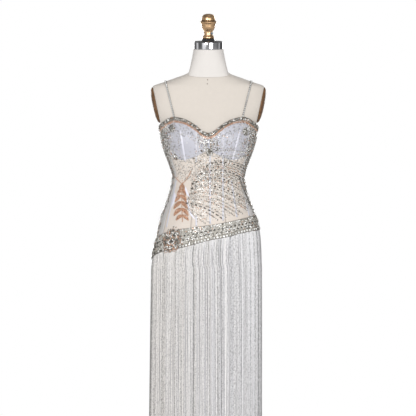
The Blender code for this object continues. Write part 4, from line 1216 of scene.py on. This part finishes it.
def make_neck_trim():
    """The beaded edge along the neckline: large stones over small ones, and a thin copper line under them."""
    downs = TRIM_WIDE * np.array([1.0, 0.92, 0.5, 0.08, 0.0])[:, None]
    thick = np.array([0.0006, TRIM_THICK, TRIM_THICK, TRIM_THICK, 0.0006])
    above = CLOTH_OUTSIDE + TRIM_GAP + TRIM_THICK
    # How far above the neckline, pitch, size, plain shades, and the shares of dark and of bright stones.
    rows = [
        (-0.0024, 0.0046, 0.0018, (0.15, 0.65), 0.34, 0.16),
        (-0.0070, 0.0046, 0.0018, (0.15, 0.65), 0.36, 0.16),
        (-0.0047, 0.0040, 0.0014, (0.15, 0.75), 0.40, 0.12),
        (-0.0097, 0.0038, 0.0014, (0.15, 0.70), 0.40, 0.10),
        (-0.0002, 0.0036, 0.0013, (0.15, 0.60), 0.40, 0.08),
        (-0.0047, 0.0270, 0.0022, (0.65, 0.95), 0.00, 0.30),
    ]
    halves = (("front", -TRIM_SEAM, TRIM_SEAM, 21), ("back", TRIM_SEAM, 360 - TRIM_SEAM, 22))
    for word, first, last, seed in halves:
        turns = np.linspace(first + 0.1, last - 0.1, 170)
        tape, _ = laid_tape(f"neck_tape_{word}", neckline(turns) - downs, turns, TRIM_GAP, thick, "edge_tape")
        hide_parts(f"neck_trim_{word}")
        field, line = Field(seed, creased=False), Field(seed + 10)
        for shift, pitch, size, shades, dark, bright in rows:
            looks = {"shades": shades, "dark": dark, "bright": bright, "warm": 0.08}
            field.edge(neckline, first, last, shift, pitch, above, size, **looks)
        field.sewn(f"neck_stones_{word}")
        for shift in (-0.0130, -0.0155, -0.0178):
            line.edge(neckline, first, last, shift, 0.0030, 0.0004, 0.0015, shades=(0.3, 1.0), warm=0.88)
        line.sewn(f"neck_copper_{word}", "round")


def strap_run(neck_turn, low_aside):
    """Heights and turns of a strap from the neckline up to the top of the shoulder."""
    heights = np.linspace(NECK_SLANT_START, NECK_SEAM, 2000)
    top = float(heights[np.argmin(np.abs(BARE(heights)[0] - STRAP_TOP_ASIDE))])
    low = float(neckline(neck_turn)) + STRAP_END_GAP
    rise = np.sin(0.5 * math.pi * np.linspace(0, 1, STRAP_STEPS))
    heights = low + (top - low) * rise
    asides = low_aside + (STRAP_TOP_ASIDE - low_aside) * rise
    return heights, np.degrees(np.arcsin(np.minimum(1.0, asides / BARE(heights)[0])))


def sew_strap(seed, middle, facing, across, top):
    """A strap's stones: large ones down its middle with dark ones beside them, and a ring at its top."""
    field = Field(seed)
    reach = lengths_along(middle)
    # How far aside, where the first stone lies, their size and the share of black ones.
    lanes = ((0.0, 0.0037, 0.0026, 0.0), (-0.0015, 0.0, 0.0018, 1.0), (0.0015, 0.0, 0.0018, 1.0))
    for offset, first, size, black in lanes:
        at = np.arange(first, reach[-1] - 0.001, 0.0074)
        lane = middle + offset * across + STRAP_THICK * facing
        points, ways = (np.stack([np.interp(at, reach, k) for k in line.T], -1) for line in (lane, facing))
        shade = field.random.uniform(0.75, 1.0, len(at))
        shade = np.where(field.random.random(len(at)) < black, 0.0, shade)
        field.stones.append((points, ways, np.full(len(at), size), shade, np.zeros(len(at))))
    ring = np.arange(7) * math.tau / 7
    turn_axis = np.cross(facing[top], across[top])
    circle = np.cos(ring)[:, None] * across[top] + np.sin(ring)[:, None] * turn_axis
    spots = middle[top] + 0.0011 * facing[top] + 0.0030 * circle
    ways = np.broadcast_to(facing[top], (7, 3))
    field.stones.append((spots, ways, np.full(7, 0.0014), np.linspace(0.1, 0.6, 7), np.zeros(7)))
    return field


def make_straps():
    """Rhinestone straps: rows of stones on a narrow tape, with a clasp at the top of each shoulder."""
    front = strap_run(STRAP_FRONT_TURN, STRAP_FRONT_ASIDE)
    rear = strap_run(STRAP_BACK_TURN, STRAP_BACK_ASIDE)
    heights = np.concatenate([front[0], rear[0][-2::-1]])
    turns = np.concatenate([front[1], 180 - rear[1][-2::-1]])
    edges = np.array([-0.5, -0.2, 0.2, 0.5]) * STRAP_WIDE
    for side, word, seed in ((1, "left", 31), (-1, "right", 32)):
        facing = outward(BARE, heights, side * turns)
        middle = off_figure(BARE, heights, side * turns, STRAP_CLEARANCE)
        across = np.cross(np.gradient(middle, axis=0), facing)
        across /= np.linalg.norm(across, axis=1, keepdims=True)
        inside = middle[:, None, :] + edges[None, :, None] * across[:, None, :]
        outside = inside + STRAP_THICK * facing[:, None, :]
        tape = wall(f"strap_tape_{word}", outside, inside, finish("band_tape"))
        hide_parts(f"strap_{word}")
        sew_strap(seed, middle, facing, across, int(np.argmax(heights))).sewn(f"strap_stones_{word}")


def make_side_beading():
    """Close beading over both sides, thinning out towards the cups, the midriff and the back."""

    def dense_in_middle(heights, places, chance):
        turn = np.abs(wrapped(places))
        inner = np.interp(heights, (0.93, 1.00, 1.09, 1.14, 1.22), (71, 70, 64, 54, 50))
        return (turn > inner + 7 * chance) & (turn < 114 - 8 * chance)

    for word, side, seed in (("left", 1, 41), ("right", -1, 42)):
        first, last = sorted((side * 49, side * 115))
        field = Field(seed)
        lower, upper = moved(band_upper, 0.002), moved(neckline, -0.0105)
        looks = {"shades": (0.35, 0.85), "dark": 0.22, "bright": 0.20, "warm": 0.08}
        field.fill(first, last, lower, upper, 0.0046, 0.0, 0.0020, dense_in_middle, **looks)
        for shift, low, high in ((2, 0.93, 1.21), (-3, 0.94, 1.18), (7, 0.93, 1.20)):
            heights = np.linspace(low, high, 200)
            turns = side * (86 + shift + 5 * np.sin((heights - low) * 21 + shift))
            field.row(heights, turns, 0.0076, 0.0004, 0.0026, shades=(0.3, 0.8), dark=0.3, bright=0.2)
        lay_on(f"side_cloth_{word}", field.sewn(f"side_stones_{word}"))


def bent(start, bend, end):
    """A line from start to end on the front, bent towards a third point, as heights and turns."""
    t = np.linspace(0, 1, 120)[:, None]
    line = (1 - t) ** 2 * np.array(start) + 2 * t * (1 - t) * np.array(bend) + t * t * np.array(end)
    return line[:, 1], np.array([turn_at(aside, height) for aside, height in line])


def beside(heights, turns, ahead, aside):
    """The line moved a little along itself and to its upper side."""
    run = np.stack([np.gradient(turns) * DEGREE, np.gradient(heights)])
    run /= np.linalg.norm(run, axis=0)
    return heights + ahead * run[1] + aside * run[0], turns + (ahead * run[0] - aside * run[1]) / DEGREE


def bead_row(field, heights, turns, kind, warm=0.12):
    """A row of pairs of dark stones, of pale beads, or of smoky stones with small beads under them."""
    if kind == "dark":
        for ahead in (-0.0017, 0.0017):
            looks = {"shades": (0.0, 0.2), "dark": 0.7, "bright": 0.06}
            field.row(*beside(heights, turns, ahead, 0.0), 0.0150, 0.0003, 0.0024, **looks)
        field.row(heights, turns, 0.0050, 0.0, 0.0012, shades=(0.45, 0.8), dark=0.15, warm=0.1)
    elif kind == "pale":
        field.row(heights, turns, 0.0046, 0.0, 0.0013, shades=(0.62, 0.9), dark=0.08, bright=0.2)
    else:
        looks = {"shades": (0.22, 0.60), "dark": 0.22, "bright": 0.08, "warm": warm}
        field.row(heights, turns, 0.0060, 0.0002, 0.0018, **looks)
        looks = {"shades": (0.45, 0.8), "dark": 0.18, "bright": 0.1, "warm": 0.12}
        field.row(*beside(heights, turns, 0.0, -0.0024), 0.0040, 0.0, 0.0012, **looks)


def fan_rows():
    """The rows of the fan, spread between its guide lines."""
    rows = []
    for guide, after in zip(FAN_GUIDES, FAN_GUIDES[1:] + FAN_GUIDES[-1:]):
        for share in np.arange(guide[3]) / guide[3]:
            between = zip(np.array(guide[:3]), np.array(after[:3]))
            rows.append([a * (1 - share) + b * share for a, b in between])
    return rows


def make_midriff_fan():
    """Curved rows of stones that fan out across the midriff, and the pebbled beading between their roots."""
    field, rows, edge = Field(51), Field(53), Field(52)
    for number, line in enumerate(fan_rows()):
        kind = "dark" if number in DARK_FAN_ROWS else "pale" if number in PALE_FAN_ROWS else "smoky"
        bead_row(rows, *bent(*line), kind, 0.45 if number in WARM_FAN_ROWS else 0.12)

    def pebbled(heights, places, chance):
        aside = figure_at(DRESSED, heights, places)[:, 0]
        near = np.exp(-(((aside - 0.020) / 0.062) ** 2) - ((heights - 1.078) / 0.042) ** 2)
        root = np.exp(-(((aside + 0.050) / 0.020) ** 2) - ((heights - 0.985) / 0.045) ** 2)
        clear = (aside < -0.055) & (heights < 1.045)
        under_cup = 0.34 * (aside < -0.012) * np.clip((heights - 1.035) / 0.03, 0, 1)
        return (chance < 0.95 * near + 0.6 * root + 0.14 + 0.14 * (aside > -0.03) + under_cup) & ~clear

    looks = {"shades": (0.38, 0.80), "dark": 0.13, "bright": 0.12, "warm": 0.06}
    field.fill(-60, 58, moved(waist_seam, 0.045), underbust, 0.0047, 0.0, 0.0016, pebbled, **looks)
    looks = {"shades": (0.5, 0.9), "dark": 0.15, "bright": 0.3}
    for first, last, shift in ((9, 61, 0.002), (9, 61, -0.004), (-61, -9, 0.001), (-58, -9, -0.004)):
        field.edge(underbust, first, last, shift, 0.0050, 0.0, 0.0015, **looks)
    for *line, shades in UNDERBUST_SWAGS:
        heights, turns = bent(*line)
        upper, lower = beside(heights, turns, 0.0, 0.0008), beside(heights, turns, 0.0034, -0.0008)
        field.row(*upper, 0.0068, 0.0003, 0.0019, shades=shades, dark=0.2, warm=0.1)
        field.row(*lower, 0.0068, 0.0003, 0.0016, shades=(0.7, 1.0), bright=0.4)
    lay_on("front_cloth", field.sewn("midriff_stones"))
    lay_on("side_front_cloth_left", rows.sewn("fan_stones"))
    heights, turns = bent(*WAIST_LINE)
    for shift in (-1.6, 0.0, 1.6):
        edge.row(heights, turns + shift, 0.0036, 0.0, 0.0015, shades=(0.15, 0.5), dark=0.45)
    lay_on("side_front_cloth_left", edge.sewn("waist_line_stones"))


def sew_curls(curls, side):
    """Loose curls of small beads over one cup, each in its own size and sweep."""
    t = np.linspace(0, 1, 90)
    least, most = (-1.6, -0.004, 0, 2.6, 0.006), (1.6, 0.004, 6.3, 4.6, 0.011)
    for height in np.arange(1.126, 1.242, 0.0110):
        for turn in np.arange(9.0, 60.0, 4.8):
            slip, lift, start, sweep, reach = curls.random.uniform(least, most)
            angle, radius = start + sweep * t, reach * (1 - 0.6 * t)
            heights = height + lift + radius * np.sin(angle)
            turns = turn + slip + radius * np.cos(angle) / DEGREE
            inside = (heights > underbust(turns) + 0.004) & (heights < neckline(turns) - 0.018)
            inside &= (turns < 61) & (np.hypot((side * turns + 26) * DEGREE, heights - 1.158) > 0.026)
            if inside.sum() > 30:
                heights, turns = heights[inside], side * turns[inside]
                curls.row(heights, turns, 0.0026, 0.0, 0.0011, shades=(0.28, 0.92), dark=0.07, warm=0.06)


def make_cup_beading():
    """Light curls of small beads over the cups, with brighter stones towards the middle and the sides."""
    field, curls = Field(61), Field(62)

    def scattered(heights, places, chance):
        turn = np.abs(places)
        towards_side = np.clip((turn - 42) / 20, 0, 1)
        towards_middle = np.clip((17 - turn) / 12, 0, 1)
        near_edge = np.clip((heights - neckline(places) + 0.022) / 0.022, 0, 1)
        return chance < 0.09 + 0.80 * towards_side + 0.85 * towards_middle + 0.25 * near_edge

    def around_middle(heights, places, chance):
        return chance < np.clip(1.15 - np.abs(places) / 13, 0, 0.9)

    low, high = moved(underbust, 0.003), moved(neckline, -0.0170)
    looks = {"shades": (0.35, 0.8), "dark": 0.22, "bright": 0.14, "warm": 0.08}
    for side in (1, -1):
        first, last = sorted((side * 1.5, side * 62))
        field.fill(first, last, low, high, 0.0052, 0.0, 0.0017, scattered, **looks)
        sew_curls(curls, side)
    low, high = moved(underbust, 0.002), moved(underbust, 0.038)
    looks = {"shades": (0.3, 0.75), "dark": 0.24, "bright": 0.24}
    field.fill(-14, 14, low, high, 0.0090, 0.0, 0.0028, around_middle, **looks)
    field.sewn("cup_stones")
    curls.sewn("cup_curls", "round")


def make_back_beading():
    """Curved rows and scattered stones over the back, in the manner of the front."""
    field, rows = Field(71), Field(72)
    count = 18
    t = np.linspace(0, 1, 120)

    def scattered(heights, places, chance):
        turn = np.abs(wrapped(places))
        from_side = np.clip((130 - turn) / 22, 0, 1)
        from_top = np.clip((heights - 1.165) / 0.03, 0, 1)
        return (chance < 0.12 + 0.6 * from_side + 0.35 * from_top) & (np.abs(turn - 180) > 4.5)

    looks = {"shades": (0.4, 0.85), "dark": 0.15, "bright": 0.12, "warm": 0.06}
    lower, upper = moved(band_upper, 0.003), moved(neckline, -0.0115)
    for side, first, last in ((1, 108.5, 175), (-1, 185, 251.5)):
        turns = side * (111 + 63 * t)
        low, high = band_upper(turns) + 0.008, neckline(turns) - 0.022
        for number in range(count):
            share = (number + 0.5) / count
            heights = low + (high - low) * share + 0.064 * np.sin(math.pi * t) * share * (1 - share)
            kind = "dark" if (number + side) % 6 == 2 else "pale" if number % 4 == 1 else "smoky"
            bead_row(rows, heights, turns, kind)
        field.fill(first, last, lower, upper, 0.0058, 0.0, 0.0014, scattered, **looks)
    lay_on("back_cloth_left", field.sewn("back_stones"))
    lay_on("back_cloth_right", rows.sewn("back_rows"))


def leaf(name, foot, tip, bend, half, rise, look):
    """A thin raised leaf on the cloth between its foot and its tip, and the lines for its beads."""
    foot, tip = np.array(foot), np.array(tip)
    run = tip - foot
    side = np.array([run[1], -run[0]]) / np.linalg.norm(run)
    t = np.linspace(0, 1, 26)
    spine = foot + run * t[:, None] + (bend * np.sin(math.pi * t))[:, None] * side
    wide = half * np.sin(math.pi * np.clip(t, 0.004, 0.996) ** 0.75) ** 0.8 + 0.0002
    across = np.array([-1.0, -0.8, -0.35, 0.0, 0.35, 0.8, 1.0])
    spots = spine[:, None, :] + (wide[:, None] * across[None, :])[..., None] * side
    heights, turns = spots[..., 1], np.array([[turn_at(x, z) for x, z in row] for row in spots])
    raised = rise * np.array([0.05, 0.75, 1.0, 1.0, 1.0, 0.75, 0.05])
    outside, inside = on_cloth(heights, turns, raised), on_cloth(heights, turns, -0.0002)
    corner = outside[0, 0]
    facing = np.cross(outside[1, 0] - corner, outside[0, 1] - corner)
    if facing @ outward(DRESSED, heights[0, 0], turns[0, 0]) > 0:
        outside, inside = outside[:, ::-1], inside[:, ::-1]
    piece = wall(name, outside, inside, finish(look))
    return heights, turns


def bead_leaf(field, heights, turns, rise):
    """Copper beads down seven lanes of a leaf, lower at its two edges."""
    for lane in range(7):
        lift = 0.0002 if lane in (0, 6) else rise
        looks = {"shades": (0.0, 1.0), "bright": 0.25, "warm": 0.93}
        field.row(heights[1:-1, lane], turns[1:-1, lane], 0.0027, lift, 0.0013, **looks)


def make_copper_leaves():
    """A copper spray of closely beaded leaves, with plain white slivers between them, beside the fan."""
    field = Field(81)
    tips = [(foot, aside, down, half) for foot, *asides, down, half in SPRAY_LEAVES for aside in asides]
    for number, (foot, aside, down, half) in enumerate(tips, 1):
        tip, rise = (foot[0] + aside, foot[1] - down), 0.0004 + 0.00006 * number
        heights, turns = leaf(f"copper_leaf_{number}", foot, tip, -0.12 * aside, half, rise, "copper_tape")
        bead_leaf(field, heights, turns, rise)
    stems = [SPRAY_STEM]
    for start, end, bow in COPPER_STEMS:
        stems.append((start, (0.5 * (start[0] + end[0]) + bow, 0.5 * (start[1] + end[1])), end))
    for stem in stems:
        heights, turns = bent(*stem)
        for shift in (-0.35, 0.35):
            field.row(heights, turns + shift, 0.0022, 0.0004, 0.0011, shades=(0.3, 1.0), warm=1.0)
    lay_on("side_front_cloth_right", field.sewn("copper_beads", "round"))
    for number, (foot, tip, bend, half) in enumerate(WHITE_SLIVERS):
        leaf(f"white_sliver_{number + 1}", foot, tip, bend, half, 0.0007, "bone_satin")


def sew_around_hip_flower(field, beads, place, turn, lift):
    """Loose stones round the hip flower's edge, and three beaded loops on the band's lower edge."""
    ring = field.random.uniform((0, 0.85), (math.tau, 1.35), (150, 2))
    heights, turns = place(ring[:, 1], ring[:, 0])
    over = (heights > band_lower(turns) + 0.002) & (heights < band_upper(turns) + 0.018)
    heights, turns = heights[over], turns[over]
    above = CLOTH_OUTSIDE + np.where(heights < band_upper(turns), ABOVE_TAPE, 0.0)
    field.sew(heights, turns, above, 0.0019, shades=(0.2, 0.8), dark=0.30, bright=0.16, warm=0.25)
    t = np.linspace(0, math.pi, 60)
    for offset in (-5.5, 0.5, 6.5):
        turns = turn + offset + 2.7 * np.cos(t)
        heights = band_lower(turns) + 0.001 - 0.0085 * np.sin(t)
        beads.row(heights, turns, 0.0024, lift, 0.0012, shades=(0.3, 1.0), warm=0.9)


def make_flowers():
    """Thick flowers of stones: a domed heart, rings of stones on each petal and a beaded outline."""
    shares = np.array([0.0, 0.15, 0.30, 0.42, 0.55, 0.70, 0.85, 0.97, 1.0])
    rises = np.array([0.80, 0.78, 0.70, 0.42, 0.50, 0.66, 0.60, 0.30, 0.05])
    for number, (node, height, turn, radius, petals, lift, thick, tall) in enumerate(FLOWERS):
        big = node == "hip_flower"
        angles = np.arange(6 * petals) * math.tau / (6 * petals)
        ends = figure_at(DRESSED, height, turn + 0.5) - figure_at(DRESSED, height, turn - 0.5)
        degree = float(np.linalg.norm(ends))

        def place(share, angle):
            reach = radius * share * (1 - 0.16 * share * (1 - np.cos(petals * angle)) / 2)
            return height + reach * np.sin(angle) * tall, turn + reach * np.cos(angle) / degree

        rings = [off_figure(DRESSED, *place(0.99, angles), lift)]
        for share, rise in zip(shares[:0:-1], rises[:0:-1]):
            rings.append(off_figure(DRESSED, *place(share, angles), lift + thick * rise * 0.75))
        base = lofted(f"{node}_base", rings, finish("edge_tape"), 60)
        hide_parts(node)
        field, beads = Field(90 + number, creased=False), Field(190 + number, creased=False)
        stone, pitch, bead = (0.0024, 0.0026, 0.0012) if big else (0.0018, 0.0022, 0.0009)
        looks = {"shades": (0.3, 0.75), "dark": 0.36, "bright": 0.26, "warm": 0.18 if big else 0.02}
        for ring, share in enumerate((0.0, 0.16, 0.32, 0.50, 0.66, 0.82) if big else (0.0, 0.27, 0.55, 0.82)):
            rise = float(np.interp(share, shares, rises)) * thick * 0.75
            count = max(1, int(math.tau * radius * share * (1.1 if big else 1.0) / (2.15 * stone)))
            spots = np.arange(count) * math.tau / count + 0.4 * ring
            field.sew(*place(share, spots), lift + rise, stone * (1.5 if share == 0 else 1.0), **looks)
        looks = {"shades": (0.3, 1.0), "warm": 0.9 if big else 0.1}
        outline = place(0.97, np.linspace(0, math.tau, 40 * petals))
        beads.row(*outline, pitch, lift + 0.2 * thick, bead, **looks)
        if big:
            t = np.linspace(0.25, 0.92, 60)
            for k in range(petals):
                spoke = (k + 0.5) * math.tau / petals + 0.25 * np.sin(math.pi * t)
                beads.row(*place(t, spoke), pitch, lift + 0.55 * thick, bead, **looks)
            sew_around_hip_flower(field, beads, place, turn, lift)
        field.sewn(f"{node}_stones")
        beads.sewn(f"{node}_outline", "round")


def make_stage():
    """A pale floor, soft studio light and the camera."""
    scene = bpy.context.scene
    look, wire = shaded("studio_floor", 0.75)
    light, dark = toned(scene.gown_colours.floor, 1.0), toned(scene.gown_colours.floor, 0.97)
    wire.shade("Base Color", wire.ramp(wire.noise(wire.place(), 3.0, 4.0), (0.3, dark), (0.7, light)))
    angles = np.linspace(0, math.tau, 96, endpoint=False)
    disc = bpy.data.meshes.new("floor")
    disc.from_pydata([(1.5 * math.cos(a), 1.5 * math.sin(a), 0) for a in angles], [], [list(range(96))])
    disc.materials.append(look)
    floor = bpy.data.objects.new("floor", disc)
    scene.collection.objects.link(floor)
    for name, place, power in LIGHTS:
        lamp = bpy.data.lights.new(name, "AREA")
        lamp.size, lamp.energy = 1.6, power
        holder = bpy.data.objects.new(name, lamp)
        holder.location = place
        aim = Vector((0, 0, 0.9)) - Vector(place)
        holder.rotation_euler = aim.to_track_quat("-Z", "Y").to_euler()
        scene.collection.objects.link(holder)
    make_world()
    camera = bpy.data.objects.new("camera", bpy.data.cameras.new("camera"))
    camera.data.lens, camera.data.sensor_width = 310.1, 36.0
    camera.location = (-0.0014, -12.0, 0.955)
    camera.rotation_euler = (math.radians(90), 0, 0)
    scene.collection.objects.link(camera)
    scene.camera = camera
    scene.view_settings.view_transform = "Standard"


def make_world():
    """White behind the object, and for its light a pale room with tall bright panels and a few dark ones."""
    world = bpy.data.worlds.new("studio")
    bpy.context.scene.world = world
    world.use_nodes = True
    wire = Wiring(world.node_tree)
    way = wire.node("ShaderNodeTexCoord").outputs["Generated"]
    way = wire.node("ShaderNodeSeparateXYZ", {0: way}).outputs
    azimuth = wire.math("ARCTAN2", way[0], wire.math("MULTIPLY", way[1], -1.0))
    round_it = wire.math("MULTIPLY_ADD", azimuth, 1 / math.tau, 0.5)
    panels = wire.ramp(round_it, *[(at, (value,) * 3) for at, value in ROOM_PANELS])
    level = wire.ramp(way[2], *[(at, (value,) * 3) for at, value in ROOM_LEVELS])
    near_level = wire.ramp(wire.math("ABSOLUTE", way[2]), (0.10, (1, 1, 1)), (0.45, (0, 0, 0)))
    room = wire.mix(wire.math("MULTIPLY", near_level, 0.9), level, panels)
    paths = wire.node("ShaderNodeLightPath").outputs
    soft = wire.mix(paths["Is Diffuse Ray"], room, level)
    shown = wire.mix(paths["Is Camera Ray"], soft, (1, 1, 1, 1))
    wire.feed(world.node_tree.nodes["Background"].inputs["Color"], shown)


class GownSizes(bpy.types.PropertyGroup):
    """Sizes that change how the gown looks without changing its cut."""

    cloth_thickness: bpy.props.FloatProperty(
        name="Cloth thickness", description="Thickness of the gown's cloth", default=0.0010, unit="LENGTH"
    )
    strands: bpy.props.IntProperty(
        name="Strands", description="How many bead strands hang from the hip band", default=440
    )
    strand_radius: bpy.props.FloatProperty(
        name="Strand radius", description="Radius of one bead strand", default=0.00095, unit="LENGTH"
    )
    fringe_bead: bpy.props.FloatProperty(
        name="Fringe bead", description="Length of one bead on a strand", default=0.0024, unit="LENGTH"
    )


def shade_property(name, description, shade):
    limits = {"subtype": "COLOR", "min": 0.0, "max": 1.0}
    return bpy.props.FloatVectorProperty(name=name, description=description, default=shade, **limits)


class GownColours(bpy.types.PropertyGroup):
    """Colours of the gown and its form, in linear light."""

    linen: shade_property("Linen", "Cover of the form's body", (0.606, 0.556, 0.502))
    neck: shade_property("Neck linen", "Cover of the form's neck", (0.65, 0.62, 0.592))
    net: shade_property("Nude net", "Net of the midriff and the back", (0.66, 0.590, 0.530))
    cups: shade_property("Lavender net", "Net over the cups", (0.51, 0.51, 0.567))
    sides: shade_property("Side net", "Net under the close side beading", (0.57, 0.552, 0.54))
    sheath: shade_property("Sheath silk", "Silk under the fringe", (0.80, 0.79, 0.81))
    bones: shade_property("Bone satin", "Satin over the cups' bones", (0.72, 0.72, 0.80))
    veiled: shade_property("Veiled bones", "Satin of the bones under the net", (0.57, 0.567, 0.62))
    tape: shade_property("Band tape", "Tape under the hip band's beading", (0.46, 0.435, 0.385))
    edging: shade_property("Edge tape", "Tape under the neckline and the flowers", (0.24, 0.224, 0.196))
    copper: shade_property("Copper", "Copper beads and leaves", (0.54, 0.315, 0.205))
    smoky: shade_property("Smoky crystal", "The stones of middle shade", (0.31, 0.29, 0.252))
    crystal: shade_property("Crystal", "The lightest stones", (0.98, 0.97, 0.95))
    fringe: shade_property("Fringe", "The lightest warm fringe beads", (0.815, 0.787, 0.757))
    fringe_cool: shade_property("Cool fringe", "The lightest cool fringe beads", (0.80, 0.795, 0.812))
    brass: shade_property("Brass", "The finial", (0.84, 0.55, 0.31))
    wood: shade_property("Wood", "The arm plates", (0.155, 0.074, 0.026))
    floor: shade_property("Floor", "The studio floor", (0.62, 0.62, 0.62))


def steps():
    """Every operator of the gown, in the order in which they run."""
    return [cls for cls in CLASSES if issubclass(cls, bpy.types.Operator)]


class GOWN_OT_form(bpy.types.Operator):
    """Build the dress form's linen body and neck"""

    bl_idname = "gown.form"
    bl_label = "Dress form"

    def execute(self, context):
        make_form()
        return {"FINISHED"}


class GOWN_OT_hardware(bpy.types.Operator):
    """Build the cap, the finial, the arm plates and the stand"""

    bl_idname = "gown.hardware"
    bl_label = "Cap, plates and stand"

    def execute(self, context):
        make_hardware()
        return {"FINISHED"}


class GOWN_OT_bodice(bpy.types.Operator):
    """Build the bodice's cut panels"""

    bl_idname = "gown.bodice"
    bl_label = "Bodice panels"

    def execute(self, context):
        make_bodice()
        return {"FINISHED"}


class GOWN_OT_bones(bpy.types.Operator):
    """Lay the satin bones on the bodice"""

    bl_idname = "gown.bones"
    bl_label = "Bones"

    def execute(self, context):
        make_bones()
        return {"FINISHED"}


class GOWN_OT_skirt(bpy.types.Operator):
    """Build the sheath under the fringe"""

    bl_idname = "gown.skirt"
    bl_label = "Skirt panels"

    def execute(self, context):
        make_skirt()
        return {"FINISHED"}


class GOWN_OT_hip_band(bpy.types.Operator):
    """Build the slanting hip band and its stones"""

    bl_idname = "gown.hip_band"
    bl_label = "Hip band"

    def execute(self, context):
        make_hip_band()
        return {"FINISHED"}


class GOWN_OT_fringe(bpy.types.Operator):
    """Hang the bead fringe"""

    bl_idname = "gown.fringe"
    bl_label = "Bead fringe"

    def execute(self, context):
        make_fringe()
        return {"FINISHED"}


class GOWN_OT_edges(bpy.types.Operator):
    """Bead the neckline and the straps"""

    bl_idname = "gown.edges"
    bl_label = "Neckline and straps"

    def execute(self, context):
        make_neck_trim()
        make_straps()
        return {"FINISHED"}


class GOWN_OT_beading(bpy.types.Operator):
    """Sew the stones on the sides, the cups, the midriff and the back"""

    bl_idname = "gown.beading"
    bl_label = "Bodice beading"

    def execute(self, context):
        make_side_beading()
        make_cup_beading()
        make_midriff_fan()
        make_back_beading()
        return {"FINISHED"}


class GOWN_OT_motifs(bpy.types.Operator):
    """Lay the copper leaves and the thick flowers"""

    bl_idname = "gown.motifs"
    bl_label = "Leaves and flowers"

    def execute(self, context):
        make_copper_leaves()
        make_flowers()
        return {"FINISHED"}


class GOWN_OT_stage(bpy.types.Operator):
    """Set the floor, the light and the camera"""

    bl_idname = "gown.stage"
    bl_label = "Studio"

    def execute(self, context):
        make_stage()
        return {"FINISHED"}


class GOWN_PT_panel(bpy.types.Panel):
    """Lists the gown's sizes, colours and steps"""

    bl_idname = "GOWN_PT_panel"
    bl_label = "Beaded Fringe Gown"
    bl_space_type = "VIEW_3D"
    bl_region_type = "UI"
    bl_category = "Gown"

    def draw(self, context):
        for group in (context.scene.gown_sizes, context.scene.gown_colours):
            for name in group.__annotations__:
                self.layout.prop(group, name)
        for step in steps():
            self.layout.operator(step.bl_idname)


CLASSES = [
    GownSizes,
    GownColours,
    GOWN_OT_form,
    GOWN_OT_hardware,
    GOWN_OT_bodice,
    GOWN_OT_bones,
    GOWN_OT_skirt,
    GOWN_OT_hip_band,
    GOWN_OT_fringe,
    GOWN_OT_edges,
    GOWN_OT_beading,
    GOWN_OT_motifs,
    GOWN_OT_stage,
    GOWN_PT_panel,
]


def register():
    for cls in CLASSES:
        bpy.utils.register_class(cls)
    bpy.types.Scene.gown_sizes = bpy.props.PointerProperty(type=GownSizes)
    bpy.types.Scene.gown_colours = bpy.props.PointerProperty(type=GownColours)


def unregister():
    del bpy.types.Scene.gown_colours
    del bpy.types.Scene.gown_sizes
    for cls in reversed(CLASSES):
        bpy.utils.unregister_class(cls)


def main():
    register()
    for step in steps():
        getattr(bpy.ops.gown, step.bl_idname.split(".")[1])()
    for shape in [found for found in bpy.data.objects if found.name.startswith("shape_")]:
        bpy.data.objects.remove(shape)


if __name__ == "__main__":
    main()
